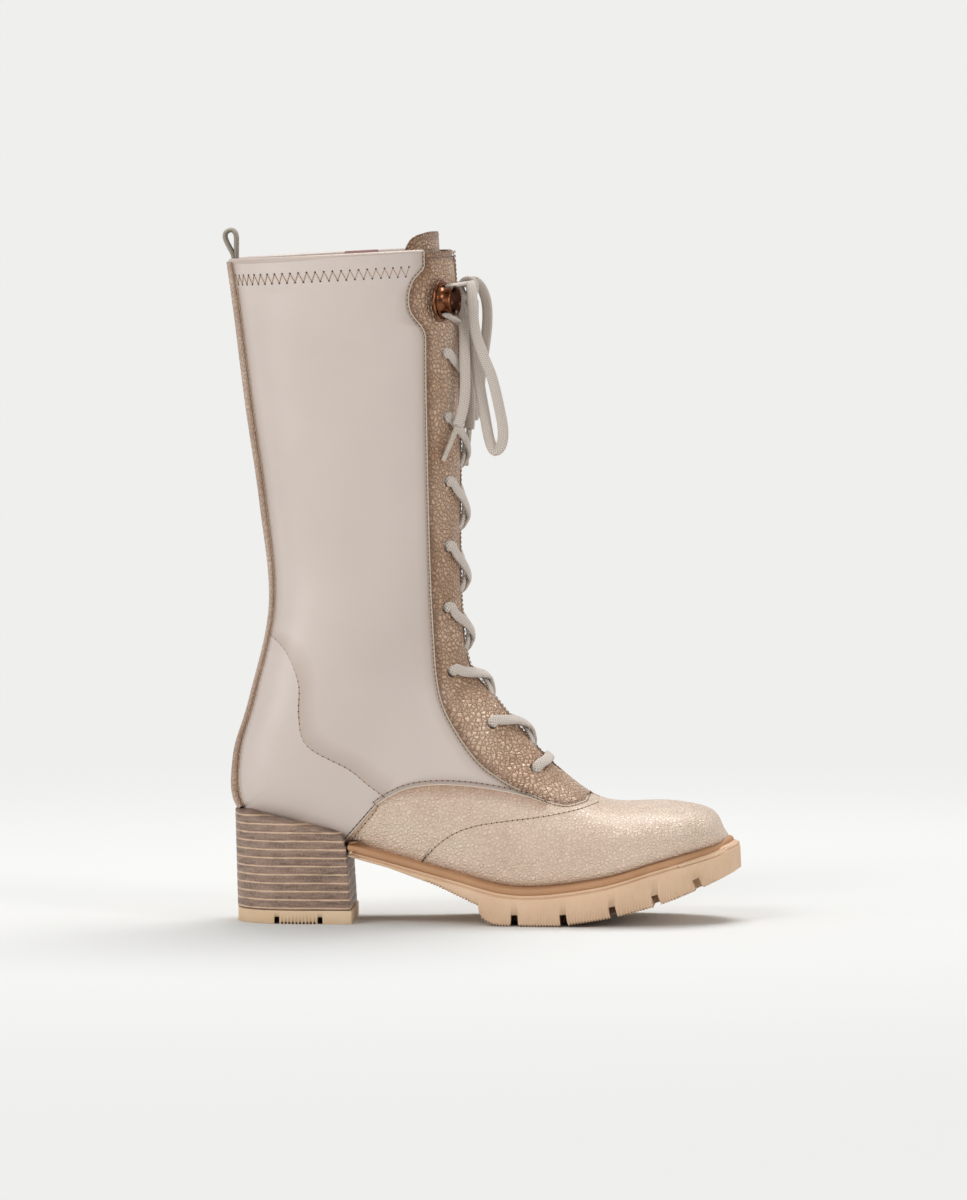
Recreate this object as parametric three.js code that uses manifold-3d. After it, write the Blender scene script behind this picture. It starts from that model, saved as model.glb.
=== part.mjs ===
// Lace-up heeled boot, right foot, women's EU 38.
// Millimetres. +X is the toe, +Z is up, +Y is the inner (medial) side, -Y the outer (lateral) side.
import * as THREE from "three";
import { mergeVertices } from "three/addons/utils/BufferGeometryUtils.js";
import Module from "manifold-3d";

const wasm = await Module();
wasm.setup();

// ---------------------------------------------------------------- driving sizes
const LEATHER = 1.2; // outer leather
const LINING = 1.0; // lining leather
const PLY_GAP = 1; // between two layers
const SEAM = 0.4; // between two pieces that meet edge to edge
const STRAP_HALF = 14; // half width of the back strap
const THROAT_HALF = 5.5; // half of the gap between the facings, at the throat
const COLLAR_HALF = 8; // the same at the collar
const EYELET_R = 3.7;
const EYELET_SHARE = 0.56; // eyelets from the centre line, as a share of the half width
const LACE_R = 1.5;
const HOOK_FLANGE_R = 10.8;
const HOOK_NECK_R = 6.4;
const HOOK_MOUTH_R = 7.6;
const HOOK_LENGTH = 10.5;
const TONGUE = 1.8;
const TONGUE_SHARE = 0.68; // its half width, as a share of the boot's
const SOLE_MARGIN = 3.2; // how far the sole stands out past the upper
const WELT = 2.6; // height of the welt
const WAIST = 4.2; // sole thickness under the waist
const LUG_SLOT_W = 3.7;
const LUG_SLOT_DEPTH = 6;
const LIFT = 7; // heel top lift
const LIFT_SLOT_W = 2.6;
const LIFT_SLOT_H = 3.6;
const HEEL_MARGIN = 0.9;
const BOARD = 2;
const FOOTBED = 2.5;
const ZIP_HALF = 6; // half of the opening that the zip fills
const COIL_HALF = 2.6; // half width of the closed coil
const SLIDER = { long: 11, wide: 8, thick: 3 };
const PULL = { long: 24, wide: 6.5, thick: 1.2 };
const LOOP_WIDE = 13;
const LOOP_THICK = 2.4;
const LOOP_OPEN = 3.4;
const LOOP_TALL = 8.5;

// ---------------------------------------------------------------- the last
// Each section runs from a front point to a back point of the side view. The rows go from the
// toe, over the instep, to the collar; the last row is above the collar, for the tongue.
// front x, front z, back x, back z, half width, widest place, front power, back power, sway
const LAST = [
  [122.8, 42.5, 122.8, 42.5, 0, 0.6, 2.2, 2.6, 5],
  [120.4, 46.5, 119, 40.2, 16, 0.6, 2.2, 3, 5],
  [113.6, 56.4, 104, 36.4, 33.5, 0.6, 2.2, 3.6, 4],
  [93, 60.8, 86, 31.6, 42.3, 0.6, 2.2, 4, 2.5],
  [59.5, 62, 56, 23.4, 45.2, 0.62, 2.1, 4.2, 0.5],
  [35.3, 78, 15.7, 19.2, 40.5, 0.64, 2, 4.2, -0.5],
  [16.2, 98, -20.3, 26.6, 35.2, 0.62, 2, 4, -0.5],
  [1, 117, -56.4, 36, 33.2, 0.58, 2, 3.8, 0],
  [-8.5, 128, -97.6, 47, 33, 0.54, 2.1, 3, 0],
  [-12.4, 140, -128.3, 57.4, 33.6, 0.5, 2.2, 2.4, 0],
  [-13.9, 153.7, -131.4, 83.6, 34.5, 0.5, 2.2, 2.2, 0],
  [-15.2, 171.2, -122.8, 114.5, 36.2, 0.5, 2.3, 2.2, 0],
  [-15.8, 201, -112.6, 162.4, 39.4, 0.5, 2.4, 2.2, 0],
  [-15.6, 234.5, -117.2, 213.9, 42.4, 0.5, 2.4, 2.2, 0],
  [-15.9, 273, -124.6, 265.4, 45.8, 0.5, 2.4, 2.2, 0],
  [-17, 310, -130.6, 313.3, 49.1, 0.5, 2.4, 2.2, 0],
  [-19, 345.3, -134.2, 339.1, 51.2, 0.5, 2.4, 2.2, 0],
  [-19.8, 357, -135, 347.5, 52, 0.5, 2.4, 2.2, 0],
];
const COLLAR = 16; // row of the collar
const THROAT = 4.08; // row where the facings begin
const HEEL_ROW = 9; // row whose back point is the rear edge of the heel seat
const WING_END = 7.32; // row where the wings end and the counter begins

// Seams as side-view curves, x and z.
const TOE_SEAM = seam([61, 62.5], [46, 58.6], [28.6, 55.6], [-4.9, 51], [-22, 43.5], [-34.8, 31]);
const FACING_SEAM = seam(
  [55, 62.5], [28.6, 66], [10.6, 71.5], [-5, 84], [-19.3, 104.6], [-25.5, 122],
  [-28, 150], [-29.5, 190], [-31.5, 295], [-38.5, 308], [-39.3, 321], [-34, 334], [-33.2, 350],
);
const WING_SEAM = seam(
  [31, 62], [15.7, 67], [-12, 71.5], [-35.8, 71], [-52.3, 64.5], [-66.7, 52], [-76, 37],
);
const COUNTER_SEAM = seam(
  [-58, 40], [-55, 66], [-70.8, 79.7], [-92, 91.6], [-96.5, 107], [-96.6, 124], [-104, 141], [-118, 152],
);
const ZIP_TOP = [-68, 338];
const ZIP_FOOT = [-65, 138];

function seam(...points) {
  return new THREE.SplineCurve(points.map(([x, z]) => new THREE.Vector2(x, z))).getPoints(60);
}

function mix(a, b, share) {
  return a + (b - a) * share;
}

function smooth(low, high, value) {
  const share = Math.min(1, Math.max(0, (value - low) / (high - low)));
  return share * share * (3 - 2 * share);
}

// One column of LAST at any row, as a Catmull-Rom curve through its numbers.
function column(index, row) {
  const k = Math.min(LAST.length - 2, Math.max(0, Math.floor(row)));
  const at = (i) => LAST[Math.min(LAST.length - 1, Math.max(0, i))][index];
  const [a, b, c, d] = [at(k - 1), at(k), at(k + 1), at(k + 2)];
  const s = row - k;
  return b + 0.5 * s * (c - a + s * (2 * a - 5 * b + 4 * c - d + s * (3 * (b - c) + d - a)));
}

function section(row) {
  const [fx, fz, bx, bz, half, widest, frontPower, backPower, sway] = LAST[0].map((_, i) => column(i, row));
  return { fx, fz, bx, bz, half: Math.max(0, half), widest, frontPower, backPower, sway };
}

// The outer surface. Angle 0 is the front line and PI the back line; a positive angle is lateral.
function skin(row, angle) {
  const s = section(row);
  const c = Math.cos(angle);
  const power = c > 0 ? s.frontPower : s.backPower;
  const reach = Math.abs(c) ** (2 / power);
  const along = c > 0 ? s.widest * (1 - reach) : mix(s.widest, 1, reach);
  const side = Math.sign(Math.sin(angle)) * Math.abs(Math.sin(angle)) ** (2 / power) * s.half;
  return new THREE.Vector3(mix(s.fx, s.bx, along), s.sway - side, mix(s.fz, s.bz, along));
}

function normal(row, angle) {
  if (row < 0.02) return new THREE.Vector3(1, 0, 0);
  const e = 0.004;
  const rise = skin(Math.min(row + e, LAST.length - 1), angle).sub(skin(Math.max(row - e, 0), angle));
  const turn = skin(row, angle + e).sub(skin(row, angle - e));
  const n = rise.cross(turn).normalize();
  const s = section(row);
  const axis = new THREE.Vector3(mix(s.fx, s.bx, s.widest), s.sway, mix(s.fz, s.bz, s.widest));
  return n.dot(skin(row, angle).sub(axis)) < 0 ? n.negate() : n;
}

function onSkin(row, angle, offset) {
  return skin(row, angle).addScaledVector(normal(row, angle), offset);
}

// The angle of the point that lies a share of the way from the front line to the back line.
function angleAlong(row, along) {
  const s = section(row);
  if (along < s.widest) return Math.acos(((s.widest - along) / s.widest) ** (s.frontPower / 2));
  return Math.acos(-(((along - s.widest) / (1 - s.widest)) ** (s.backPower / 2)));
}

function angleAcross(row, distance, atBack = false) {
  const s = section(row);
  const power = atBack ? s.backPower : s.frontPower;
  const angle = Math.asin(Math.min(1, distance / Math.max(s.half, distance)) ** (power / 2));
  return atBack ? Math.PI - angle : angle;
}

// Where a side-view seam crosses a section, moved along the section by a distance.
function seamAngle(points, row, move = 0) {
  const s = section(row);
  const dx = s.bx - s.fx;
  const dz = s.bz - s.fz;
  const length = Math.hypot(dx, dz);
  const side = (p) => dx * (p.y - s.fz) - dz * (p.x - s.fx);
  for (let i = 1; i < points.length; i++) {
    const [a, b] = [side(points[i - 1]), side(points[i])];
    if (a * b > 0 || a === b) continue;
    const p = points[i - 1].clone().lerp(points[i], a / (a - b));
    const along = ((p.x - s.fx) * dx + (p.y - s.fz) * dz) / (length * length) + move / length;
    if (along > -0.02 && along < 1.02) return angleAlong(row, Math.min(1, Math.max(0, along)));
  }
  return null;
}

function feather(row) {
  return mix(2.42, Math.PI, smooth(HEEL_ROW - 1, HEEL_ROW + 0.3, row));
}

function facingEdge(row) {
  return angleAcross(row, mix(THROAT_HALF, COLLAR_HALF, smooth(THROAT, COLLAR, row)));
}

function strapEdge(row) {
  return angleAcross(row, STRAP_HALF, true);
}

const ZIP_LINE = [new THREE.Vector2(...ZIP_FOOT), new THREE.Vector2(...ZIP_TOP)];
function zipAngle(row, move) {
  const far = ZIP_LINE[1].clone().sub(ZIP_LINE[0]);
  const line = [ZIP_LINE[0].clone().sub(far), ZIP_LINE[1].clone().add(far)];
  return seamAngle(line, row, move);
}

function seamRow(side) {
  // The row whose section passes a side-view point.
  let [low, high] = [HEEL_ROW, COLLAR];
  for (let i = 0; i < 30; i++) {
    const row = (low + high) / 2;
    const s = section(row);
    const share = (side[0] - s.fx) / (s.bx - s.fx);
    if (mix(s.fz, s.bz, share) < side[1]) low = row;
    else high = row;
  }
  return low;
}
const ZIP_LOW_ROW = seamRow(ZIP_FOOT);

// ---------------------------------------------------------------- sheets of leather
// All sheets share the same rows, so that pieces that meet along a seam bend alike.
const ROW_STEP = 0.36;
function rowsBetween(from, to, step = ROW_STEP) {
  const rows = [from];
  for (let row = Math.ceil(from / step + 0.2) * step; row < to - 0.2 * step; row += step) rows.push(row);
  return [...rows, to];
}

// The angle a share of the way between two, spaced evenly as seen from the section's middle.
function between(row, from, to, share) {
  const { frontPower, backPower } = section(row);
  const polar = (angle, invert) => {
    const power = Math.cos(angle) > 0 ? frontPower : backPower;
    const exponent = invert ? power / 2 : 2 / power;
    const quarter = Math.round(angle / (Math.PI / 2));
    const bend = Math.abs(Math.tan(angle)) ** exponent;
    if (Math.abs(Math.sin(2 * angle)) < 1e-9) return quarter * (Math.PI / 2);
    const turns = Math.floor(angle / (Math.PI / 2));
    const rising = ((turns % 2) + 2) % 2 === 0;
    const within = rising ? Math.atan(bend) : Math.PI / 2 - Math.atan(bend);
    return turns * (Math.PI / 2) + within;
  };
  return polar(mix(polar(from, false), polar(to, false), share), true);
}

// Adds one sheet to a list of triangles. Each row is { row, from, to, open, shut }: open leaves
// out the wall at "from" and shut the wall at "to", where another sheet carries on; drop sinks it.
function addSheet(triangles, rows, columns, low, high) {
  const layer = (offset) =>
    rows.map(({ row, from, to, drop = 0 }) => Array.from({ length: columns + 1 }, (_, j) =>
      onSkin(row, between(row, from, to, j / columns), offset - drop)));
  const [inner, outer] = [layer(low), layer(high)];
  const quad = (a, b, c, d) => triangles.push([a, b, c], [a, c, d]);
  for (let i = 0; i + 1 < rows.length; i++) {
    for (let j = 0; j < columns; j++) {
      quad(outer[i][j], outer[i][j + 1], outer[i + 1][j + 1], outer[i + 1][j]);
      quad(inner[i][j], inner[i + 1][j], inner[i + 1][j + 1], inner[i][j + 1]);
    }
    if (!(rows[i].open && rows[i + 1].open)) {
      quad(outer[i][0], outer[i + 1][0], inner[i + 1][0], inner[i][0]);
    }
    if (!(rows[i].shut && rows[i + 1].shut)) {
      quad(outer[i + 1][columns], outer[i][columns], inner[i][columns], inner[i + 1][columns]);
    }
  }
  const last = rows.length - 1;
  for (let j = 0; j < columns; j++) {
    quad(outer[0][j + 1], outer[0][j], inner[0][j], inner[0][j + 1]);
    quad(outer[last][j], outer[last][j + 1], inner[last][j + 1], inner[last][j]);
  }
}

function solidFrom(triangles) {
  const area = ([a, b, c]) => b.clone().sub(a).cross(c.clone().sub(a)).length();
  const kept = triangles.filter((t) => area(t) > 1e-7);
  const volume = kept.reduce((sum, [a, b, c]) => sum + a.dot(b.clone().cross(c)), 0);
  const facing = volume < 0 ? kept.map(([a, b, c]) => [a, c, b]) : kept;
  const numbers = facing.flat().flatMap((p) => p.toArray());
  const geometry = new THREE.BufferGeometry();
  geometry.setAttribute("position", new THREE.Float32BufferAttribute(numbers, 3));
  return mergeVertices(geometry, 1e-4);
}

function mirrored(rows) {
  return rows.map((r) => ({ ...r, from: -r.from, to: -r.to }));
}

function panel(rows, columns, low = -LEATHER, high = 0) {
  const triangles = [];
  addSheet(triangles, rows, columns, low, high);
  return solidFrom(triangles);
}

// ---------------------------------------------------------------- solids by manifold-3d
function toManifold(geometry) {
  const flat = new THREE.BufferGeometry();
  const loose = geometry.index ? geometry.toNonIndexed() : geometry;
  flat.setAttribute("position", loose.getAttribute("position"));
  const merged = mergeVertices(flat, 1e-4);
  const mesh = new wasm.Mesh({
    numProp: 3,
    vertProperties: new Float32Array(merged.getAttribute("position").array),
    triVerts: new Uint32Array(merged.index.array),
  });
  mesh.merge();
  return new wasm.Manifold(mesh);
}

function fromManifold(solid) {
  const mesh = solid.getMesh();
  const geometry = new THREE.BufferGeometry();
  geometry.setAttribute("position", new THREE.Float32BufferAttribute(mesh.vertProperties, 3));
  geometry.setIndex(new THREE.Uint32BufferAttribute(mesh.triVerts, 1));
  return geometry;
}

function cut(geometry, ...tools) {
  return fromManifold(tools.reduce((solid, tool) => solid.subtract(toManifold(tool)), toManifold(geometry)));
}

function common(a, b) {
  return fromManifold(toManifold(a).intersect(toManifold(b)));
}

// A side-view outline made solid across the boot.
function acrossY(outline, half = 70) {
  const shape = new THREE.Shape(outline.map(([x, z]) => new THREE.Vector2(x, z)));
  const geometry = new THREE.ExtrudeGeometry(shape, { depth: 2 * half, bevelEnabled: false });
  return geometry.rotateX(Math.PI / 2).translate(0, half, 0);
}

// A plan outline made solid upwards.
function upwards(outline, low, high) {
  const shape = new THREE.Shape(outline.map(([x, y]) => new THREE.Vector2(x, y)));
  const geometry = new THREE.ExtrudeGeometry(shape, { depth: high - low, bevelEnabled: false });
  return geometry.translate(0, 0, low);
}

// The outline of the foot seen from below, standing out by a margin.
function plan(margin) {
  const heelFrom = 8;
  const side = rowsBetween(0, heelFrom).map((row) => {
    const s = section(row);
    return new THREE.Vector3(s.bx, s.half, s.sway);
  });
  const seat = side[side.length - 1];
  const back = LAST[HEEL_ROW][2];
  for (let i = 1; i <= 7; i++) {
    const turn = (i / 7) * (Math.PI / 2);
    const x = seat.x + (back - seat.x) * Math.sin(turn);
    side.push(new THREE.Vector3(x, seat.y * Math.cos(turn) ** 0.9, 0));
  }
  side[side.length - 1].y = 0;
  const out = side.map((p, i) => {
    const before = side[i - 1] ?? new THREE.Vector3(p.x, -side[i + 1].y, 0);
    const after = side[i + 1] ?? new THREE.Vector3(p.x, -side[i - 1].y, 0);
    const along = new THREE.Vector2(after.x - before.x, after.y - before.y).normalize();
    return [p.x - along.y * -margin, p.y + -along.x * margin, p.z];
  });
  const lateral = out.map(([x, half, sway]) => [x, sway - Math.max(0, half)]);
  const medial = out.slice(1, -1).map(([x, half, sway]) => [x, sway + half]);
  return [...lateral, ...medial.reverse()];
}

// The bottom line of the upper, raised, from one row to another.
function bottomLine(fromRow, toRow, raise) {
  return rowsBetween(fromRow, toRow, 0.35).map((row) => {
    const s = section(row);
    return [s.bx, s.bz + raise];
  });
}

// ---------------------------------------------------------------- the node list
const group = new THREE.Group();
group.name = "boot";

const LOOKS = {
  leather: ["#cfc4ba", 0.6, 0],
  pebble: ["#c4a98e", 0.5, 0.15],
  lining: ["#c9a6a0", 0.85, 0],
  rubber: ["#cfb08a", 0.75, 0],
  stack: ["#6d6258", 0.6, 0],
  copper: ["#b4704a", 0.3, 1],
  lace: ["#dcd5cc", 0.9, 0],
  board: ["#a5835d", 0.8, 0],
  tape: ["#6a5a50", 0.8, 0],
};

function add(name, look, geometry, parent = group) {
  const [color, roughness, metalness] = LOOKS[look];
  geometry.computeVertexNormals();
  const mesh = new THREE.Mesh(geometry, new THREE.MeshStandardMaterial({ color, roughness, metalness }));
  mesh.name = name;
  parent.add(mesh);
  return mesh;
}

// Toe and vamp: one piece over the toes, running back along both sides.
function toeVamp() {
  const end = 6.3;
  const rows = [...rowsBetween(0, THROAT - 0.1), ...rowsBetween(THROAT, end)];
  const half = rows.map((row) => {
    const whole = row < THROAT;
    const from = whole ? 0 : (seamAngle(TOE_SEAM, row, SEAM) ?? 0.1);
    return { row, from, to: Math.max(feather(row), from + 0.02), open: whole };
  });
  const triangles = [];
  addSheet(triangles, half, 10, -LEATHER, 0);
  const sheet = [];
  addSheet(sheet, mirrored(half), 10, -LEATHER, 0);
  sheet.forEach(([a, b, c]) => triangles.push([a, c, b]));
  return solidFrom(triangles);
}
add("toe_vamp", "pebble", toeVamp());

function wing(sign) {
  const rows = rowsBetween(THROAT + 0.38, WING_END).map((row) => {
    const facing = (seamAngle(FACING_SEAM, row, SEAM) ?? 0.1);
    const upper = Math.max(facing, seamAngle(WING_SEAM, row, SEAM) ?? 0);
    const lower = (seamAngle(TOE_SEAM, row, -SEAM) ?? feather(row));
    return { row, from: upper * sign, to: Math.max(lower, upper + 0.05) * sign };
  });
  return panel(rows, 7);
}
add("wing_lateral", "pebble", wing(1));
add("wing_medial", "pebble", wing(-1));

// Lower or rear edge of the shaft panel.
function shaftEdge(row) {
  if (row < WING_END + 0.02) return seamAngle(WING_SEAM, row, -SEAM) ?? 0;
  const counter = seamAngle(COUNTER_SEAM, row, -SEAM);
  const strap = row > HEEL_ROW ? strapEdge(row) - SEAM / 30 : feather(row);
  return counter === null ? strap : Math.min(counter, strap);
}

function shaftRows() {
  return [...rowsBetween(5.02, WING_END), ...rowsBetween(WING_END + 0.04, COLLAR)].map((row) => {
    const from = seamAngle(FACING_SEAM, row, SEAM);
    return { row, from, to: Math.max(shaftEdge(row), from + 0.03) };
  });
}
add("shaft_lateral", "leather", panel(shaftRows(), 10));

function shaftMedial() {
  const slot = (row) => row > ZIP_LOW_ROW;
  const split = (row, move) => zipAngle(row, slot(row) ? move : 0);
  const cutRow = [ZIP_LOW_ROW - 0.02, ZIP_LOW_ROW + 0.02];
  const rows = [...shaftRows().filter((r) => Math.abs(r.row - ZIP_LOW_ROW) > 0.1), ...cutRow.map((row) => ({
    row, from: seamAngle(FACING_SEAM, row, SEAM), to: shaftEdge(row),
  }))].sort((a, b) => a.row - b.row);
  const splits = rows.map((r) => {
    const whole = !slot(r.row);
    const mid = whole && r.row < 9 ? mix(r.from, r.to, 0.5) : split(r.row, -ZIP_HALF);
    const rear = whole && r.row < 9 ? mid : split(r.row, ZIP_HALF);
    return { ...r, whole, mid, rear };
  });
  const triangles = [];
  const front = splits.map((r) => ({ row: r.row, from: -r.from, to: -r.mid, shut: r.whole }));
  const back = splits.map((r) => ({ row: r.row, from: -r.rear, to: -r.to, open: r.whole }));
  addSheet(triangles, front, 5, -LEATHER, 0);
  addSheet(triangles, back, 5, -LEATHER, 0);
  return solidFrom(triangles);
}
add("shaft_medial", "leather", shaftMedial());

function counterTop() {
  const meets = (row) => seamAngle(COUNTER_SEAM, row, SEAM) >= strapEdge(row) - 0.1;
  return rowsBetween(10, 13, 0.02).find((row) => seamAngle(COUNTER_SEAM, row, SEAM) === null || meets(row));
}

function counter(sign) {
  const top = counterTop();
  const rows = rowsBetween(WING_END + 0.06, top).map((row) => {
    const from = (seamAngle(COUNTER_SEAM, row, SEAM) ?? 0);
    const to = row > HEEL_ROW ? Math.min(feather(row), strapEdge(row) - SEAM / 30) : feather(row);
    return { row, from: from * sign, to: Math.max(to, from + 0.03) * sign };
  });
  return panel(rows, 9);
}
add("counter_lateral", "leather", counter(1));
add("counter_medial", "leather", counter(-1));

const STRAP_OUT = 0.5;
const strapRows = rowsBetween(HEEL_ROW + 0.35, COLLAR).map((row) => ({
  row, from: strapEdge(row), to: 2 * Math.PI - strapEdge(row),
}));
add("back_strap", "pebble", panel(strapRows, 6, -LEATHER, STRAP_OUT));

// ---------------------------------------------------------------- facings with their eyelets
const EYELET_HEIGHTS = [79, 102, 129, 162, 194, 227, 260, 293]; // side-view heights
const FACING_OUT = 0.3;

function eyelet(height) {
  let best = null;
  for (let row = THROAT; row < COLLAR; row += 0.02) {
    const angle = angleAcross(row, EYELET_SHARE * section(row).half);
    const gap = Math.abs(skin(row, angle).z - height);
    if (!best || gap < best.gap) best = { row, angle, gap };
  }
  return best;
}
const EYELETS = EYELET_HEIGHTS.map(eyelet);

function aimed(geometry, direction) {
  const turn = new THREE.Quaternion().setFromUnitVectors(new THREE.Vector3(0, 1, 0), direction);
  return geometry.applyQuaternion(turn);
}

function facing(sign) {
  const rows = rowsBetween(THROAT + 0.24, COLLAR).map((row) => {
    const to = seamAngle(FACING_SEAM, row);
    const from = facingEdge(row);
    return { row, from: Math.min(from, to - 0.05) * sign, to: to * sign };
  });
  const holes = EYELETS.map(({ row, angle }) => {
    const hole = new THREE.CylinderGeometry(EYELET_R, EYELET_R, 8, 8);
    const place = skin(row, angle * sign);
    return aimed(hole, normal(row, angle * sign)).translate(place.x, place.y, place.z);
  });
  return cut(panel(rows, 5, -LEATHER, FACING_OUT), ...holes);
}
add("facing_lateral", "pebble", facing(1));
add("facing_medial", "pebble", facing(-1));

// ---------------------------------------------------------------- lining, tongue, insole
const LINING_OUT = -LEATHER - PLY_GAP;
const LINING_DROP = 1.4; // deeper in the foot, where the corners are tight
function liningEdge(row) {
  return seamAngle(FACING_SEAM, row, -2.5) ?? 0.4;
}

const LINING_JOIN = 6.6; // row where the lining of the foot meets the lining of the quarters
function liningRow(row, sign = 1) {
  const from = row < THROAT ? 0 : liningEdge(row);
  const to = Math.min(feather(row) - (row < HEEL_ROW ? 0.06 : 0), Math.PI - SEAM / 60);
  const drop = LINING_DROP * (1 - smooth(11, 15, row));
  return { row, from: from * sign, to: to * sign, open: row < THROAT, drop };
}

function vampLining() {
  const rows = [...rowsBetween(0.9, THROAT - 0.12), ...rowsBetween(THROAT + 0.02, LINING_JOIN)];
  const half = rows.map((row) => liningRow(row));
  const triangles = [];
  addSheet(triangles, half, 10, LINING_OUT - LINING, LINING_OUT);
  const other = [];
  addSheet(other, mirrored(half), 10, LINING_OUT - LINING, LINING_OUT);
  other.forEach(([a, b, c]) => triangles.push([a, c, b]));
  return solidFrom(triangles);
}
add("lining_vamp", "lining", vampLining());

function quarterLining(sign) {
  const rows = rowsBetween(LINING_JOIN + SEAM / 10, COLLAR).map((row) => liningRow(row, sign));
  return panel(rows, 10, LINING_OUT - LINING, LINING_OUT);
}
add("lining_lateral", "lining", quarterLining(1));
add("lining_medial", "lining", quarterLining(-1));

const LACE_UNDER = -LEATHER - 0.35 - LACE_R; // centre of the lace behind the facing
const TONGUE_OUT = LACE_UNDER - LACE_R - 2.2;
const tongueRows = rowsBetween(THROAT - 0.5, COLLAR + 0.72, 0.5).map((row) => {
  const half = angleAcross(row, TONGUE_SHARE * section(row).half);
  return { row, from: -half, to: half };
});
add("tongue", "pebble", panel(tongueRows, 8, TONGUE_OUT - TONGUE, TONGUE_OUT));

// The insole board closes the bottom between the turned-in edges; the footbed lies on it.
function floorLayer(fromRow, toRow, inset, low, high) {
  const rows = rowsBetween(fromRow, toRow).map((row) => {
    const from = feather(row) + inset;
    return { row, from, to: 2 * Math.PI - from };
  });
  return panel(rows, 8, low, high);
}
const BOARD_OUT = -0.7;
add("insole_board", "board", floorLayer(1.1, 8.7, 0.05, BOARD_OUT - BOARD, BOARD_OUT));
const FOOTBED_OUT = BOARD_OUT - BOARD - 0.5;
add("footbed", "lining", floorLayer(1.3, 8.3, 0.16, FOOTBED_OUT - FOOTBED, FOOTBED_OUT));

// ---------------------------------------------------------------- sole and heel
function upperBody(out) {
  const rows = rowsBetween(0, 11);
  const triangles = [];
  const count = 22;
  const turns = Array.from({ length: count }, (_, j) => (j / count) * 2 * Math.PI);
  const rings = rows.map((row) => turns.map((turn) => onSkin(row, turn, out)));
  for (let i = 0; i + 1 < rings.length; i++) {
    for (let j = 0; j < count; j++) {
      const k = (j + 1) % count;
      triangles.push([rings[i][j], rings[i][k], rings[i + 1][k]]);
      triangles.push([rings[i][j], rings[i + 1][k], rings[i + 1][j]]);
    }
  }
  const end = rings[rings.length - 1];
  for (let j = 1; j + 1 < count; j++) triangles.push([end[0], end[j], end[j + 1]]);
  return solidFrom(triangles);
}
const UPPER = upperBody(0.5);

const SOLE_TIP = 4.2;
const BREAST = -72; // heel breast
const LUG_SLOTS = [14.7, 39.9, 65.1, 87.8, 108.9];
const SOLE_RAISE = 0.6;

function outsole() {
  const top = bottomLine(0.6, 7.35, SOLE_RAISE).filter(([x]) => x > BREAST + 1);
  const waist = bottomLine(5.9, 7.35, -WAIST).filter(([x]) => x > BREAST + 1).reverse();
  const tread = new THREE.SplineCurve([
    [36, 0], [57, 1.4], [77.5, 7.4], [98, 14.4], [112, 20.2], [122.8 + SOLE_TIP - 1, 27.5],
  ].map(([x, z]) => new THREE.Vector2(x, z))).getPoints(14).map((p) => [p.x, p.y]);
  const outline = [
    [122.8 + SOLE_TIP + 1, 41.5], ...top, [BREAST + 0.6, top[top.length - 1][1]],
    [BREAST + 0.6, waist[0][1]], ...waist, [-3.5, 15], [-4.6, 12], [-4, 6], [-1.5, 3.2], [6, 0],
    ...tread, [122.8 + SOLE_TIP + 1.5, 33],
  ];
  const body = common(acrossY(outline), upwards(plan(SOLE_MARGIN), -5, 60));
  const slots = LUG_SLOTS.map((x) => {
    const under = x > 36 ? 0.012 * (x - 36) ** 1.72 : 0;
    const box = new THREE.BoxGeometry(LUG_SLOT_W, 130, LUG_SLOT_DEPTH + 10);
    return box.translate(x, 0, under + LUG_SLOT_DEPTH - (LUG_SLOT_DEPTH + 10) / 2);
  });
  return cut(body, UPPER, ...slots);
}
add("outsole", "rubber", outsole());

function welt() {
  const low = bottomLine(0.2, 6.1, SOLE_RAISE + 0.3);
  const high = bottomLine(0.2, 6.1, SOLE_RAISE + 0.3 + WELT).reverse();
  const nose = [122.8 + SOLE_TIP + 2, low[0][1] + 0.3];
  const strip = acrossY([nose, ...low, ...high, [nose[0], nose[1] + WELT]]);
  const ring = cut(upwards(plan(SOLE_MARGIN - 0.6), -5, 60), upwards(plan(0.5), -6, 61));
  return cut(common(strip, ring), UPPER);
}
add("welt", "rubber", welt());

const HEEL_BACK = LAST[HEEL_ROW][2] - HEEL_MARGIN;
const HEEL_TOP_BACK = 58;
const HEEL_TOP_FRONT = 45.5;
function heelSolid(outline) {
  return common(acrossY(outline), upwards(plan(HEEL_MARGIN - 1.6), -5, 80));
}
const heelOutline = [
  [HEEL_BACK - 6, LIFT + 0.3], [BREAST + 0.2, LIFT + 0.3], [BREAST - 1, 24],
  [BREAST - 1.6, HEEL_TOP_FRONT - 6],
  [BREAST - 4, HEEL_TOP_FRONT], [HEEL_BACK - 6, HEEL_TOP_BACK + 1],
];
add("heel_block", "stack", cut(heelSolid(heelOutline), UPPER));

const liftOutline = [[HEEL_BACK - 6, 0], [BREAST + 0.2, 0], [BREAST + 0.2, LIFT], [HEEL_BACK - 6, LIFT]];
const liftSlots = [-109.5, -86.8].map((x) =>
  new THREE.BoxGeometry(LIFT_SLOT_W, 130, 2 * LIFT_SLOT_H).translate(x, 0, 0));
add("heel_top_lift", "rubber", cut(heelSolid(liftOutline), ...liftSlots));

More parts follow.
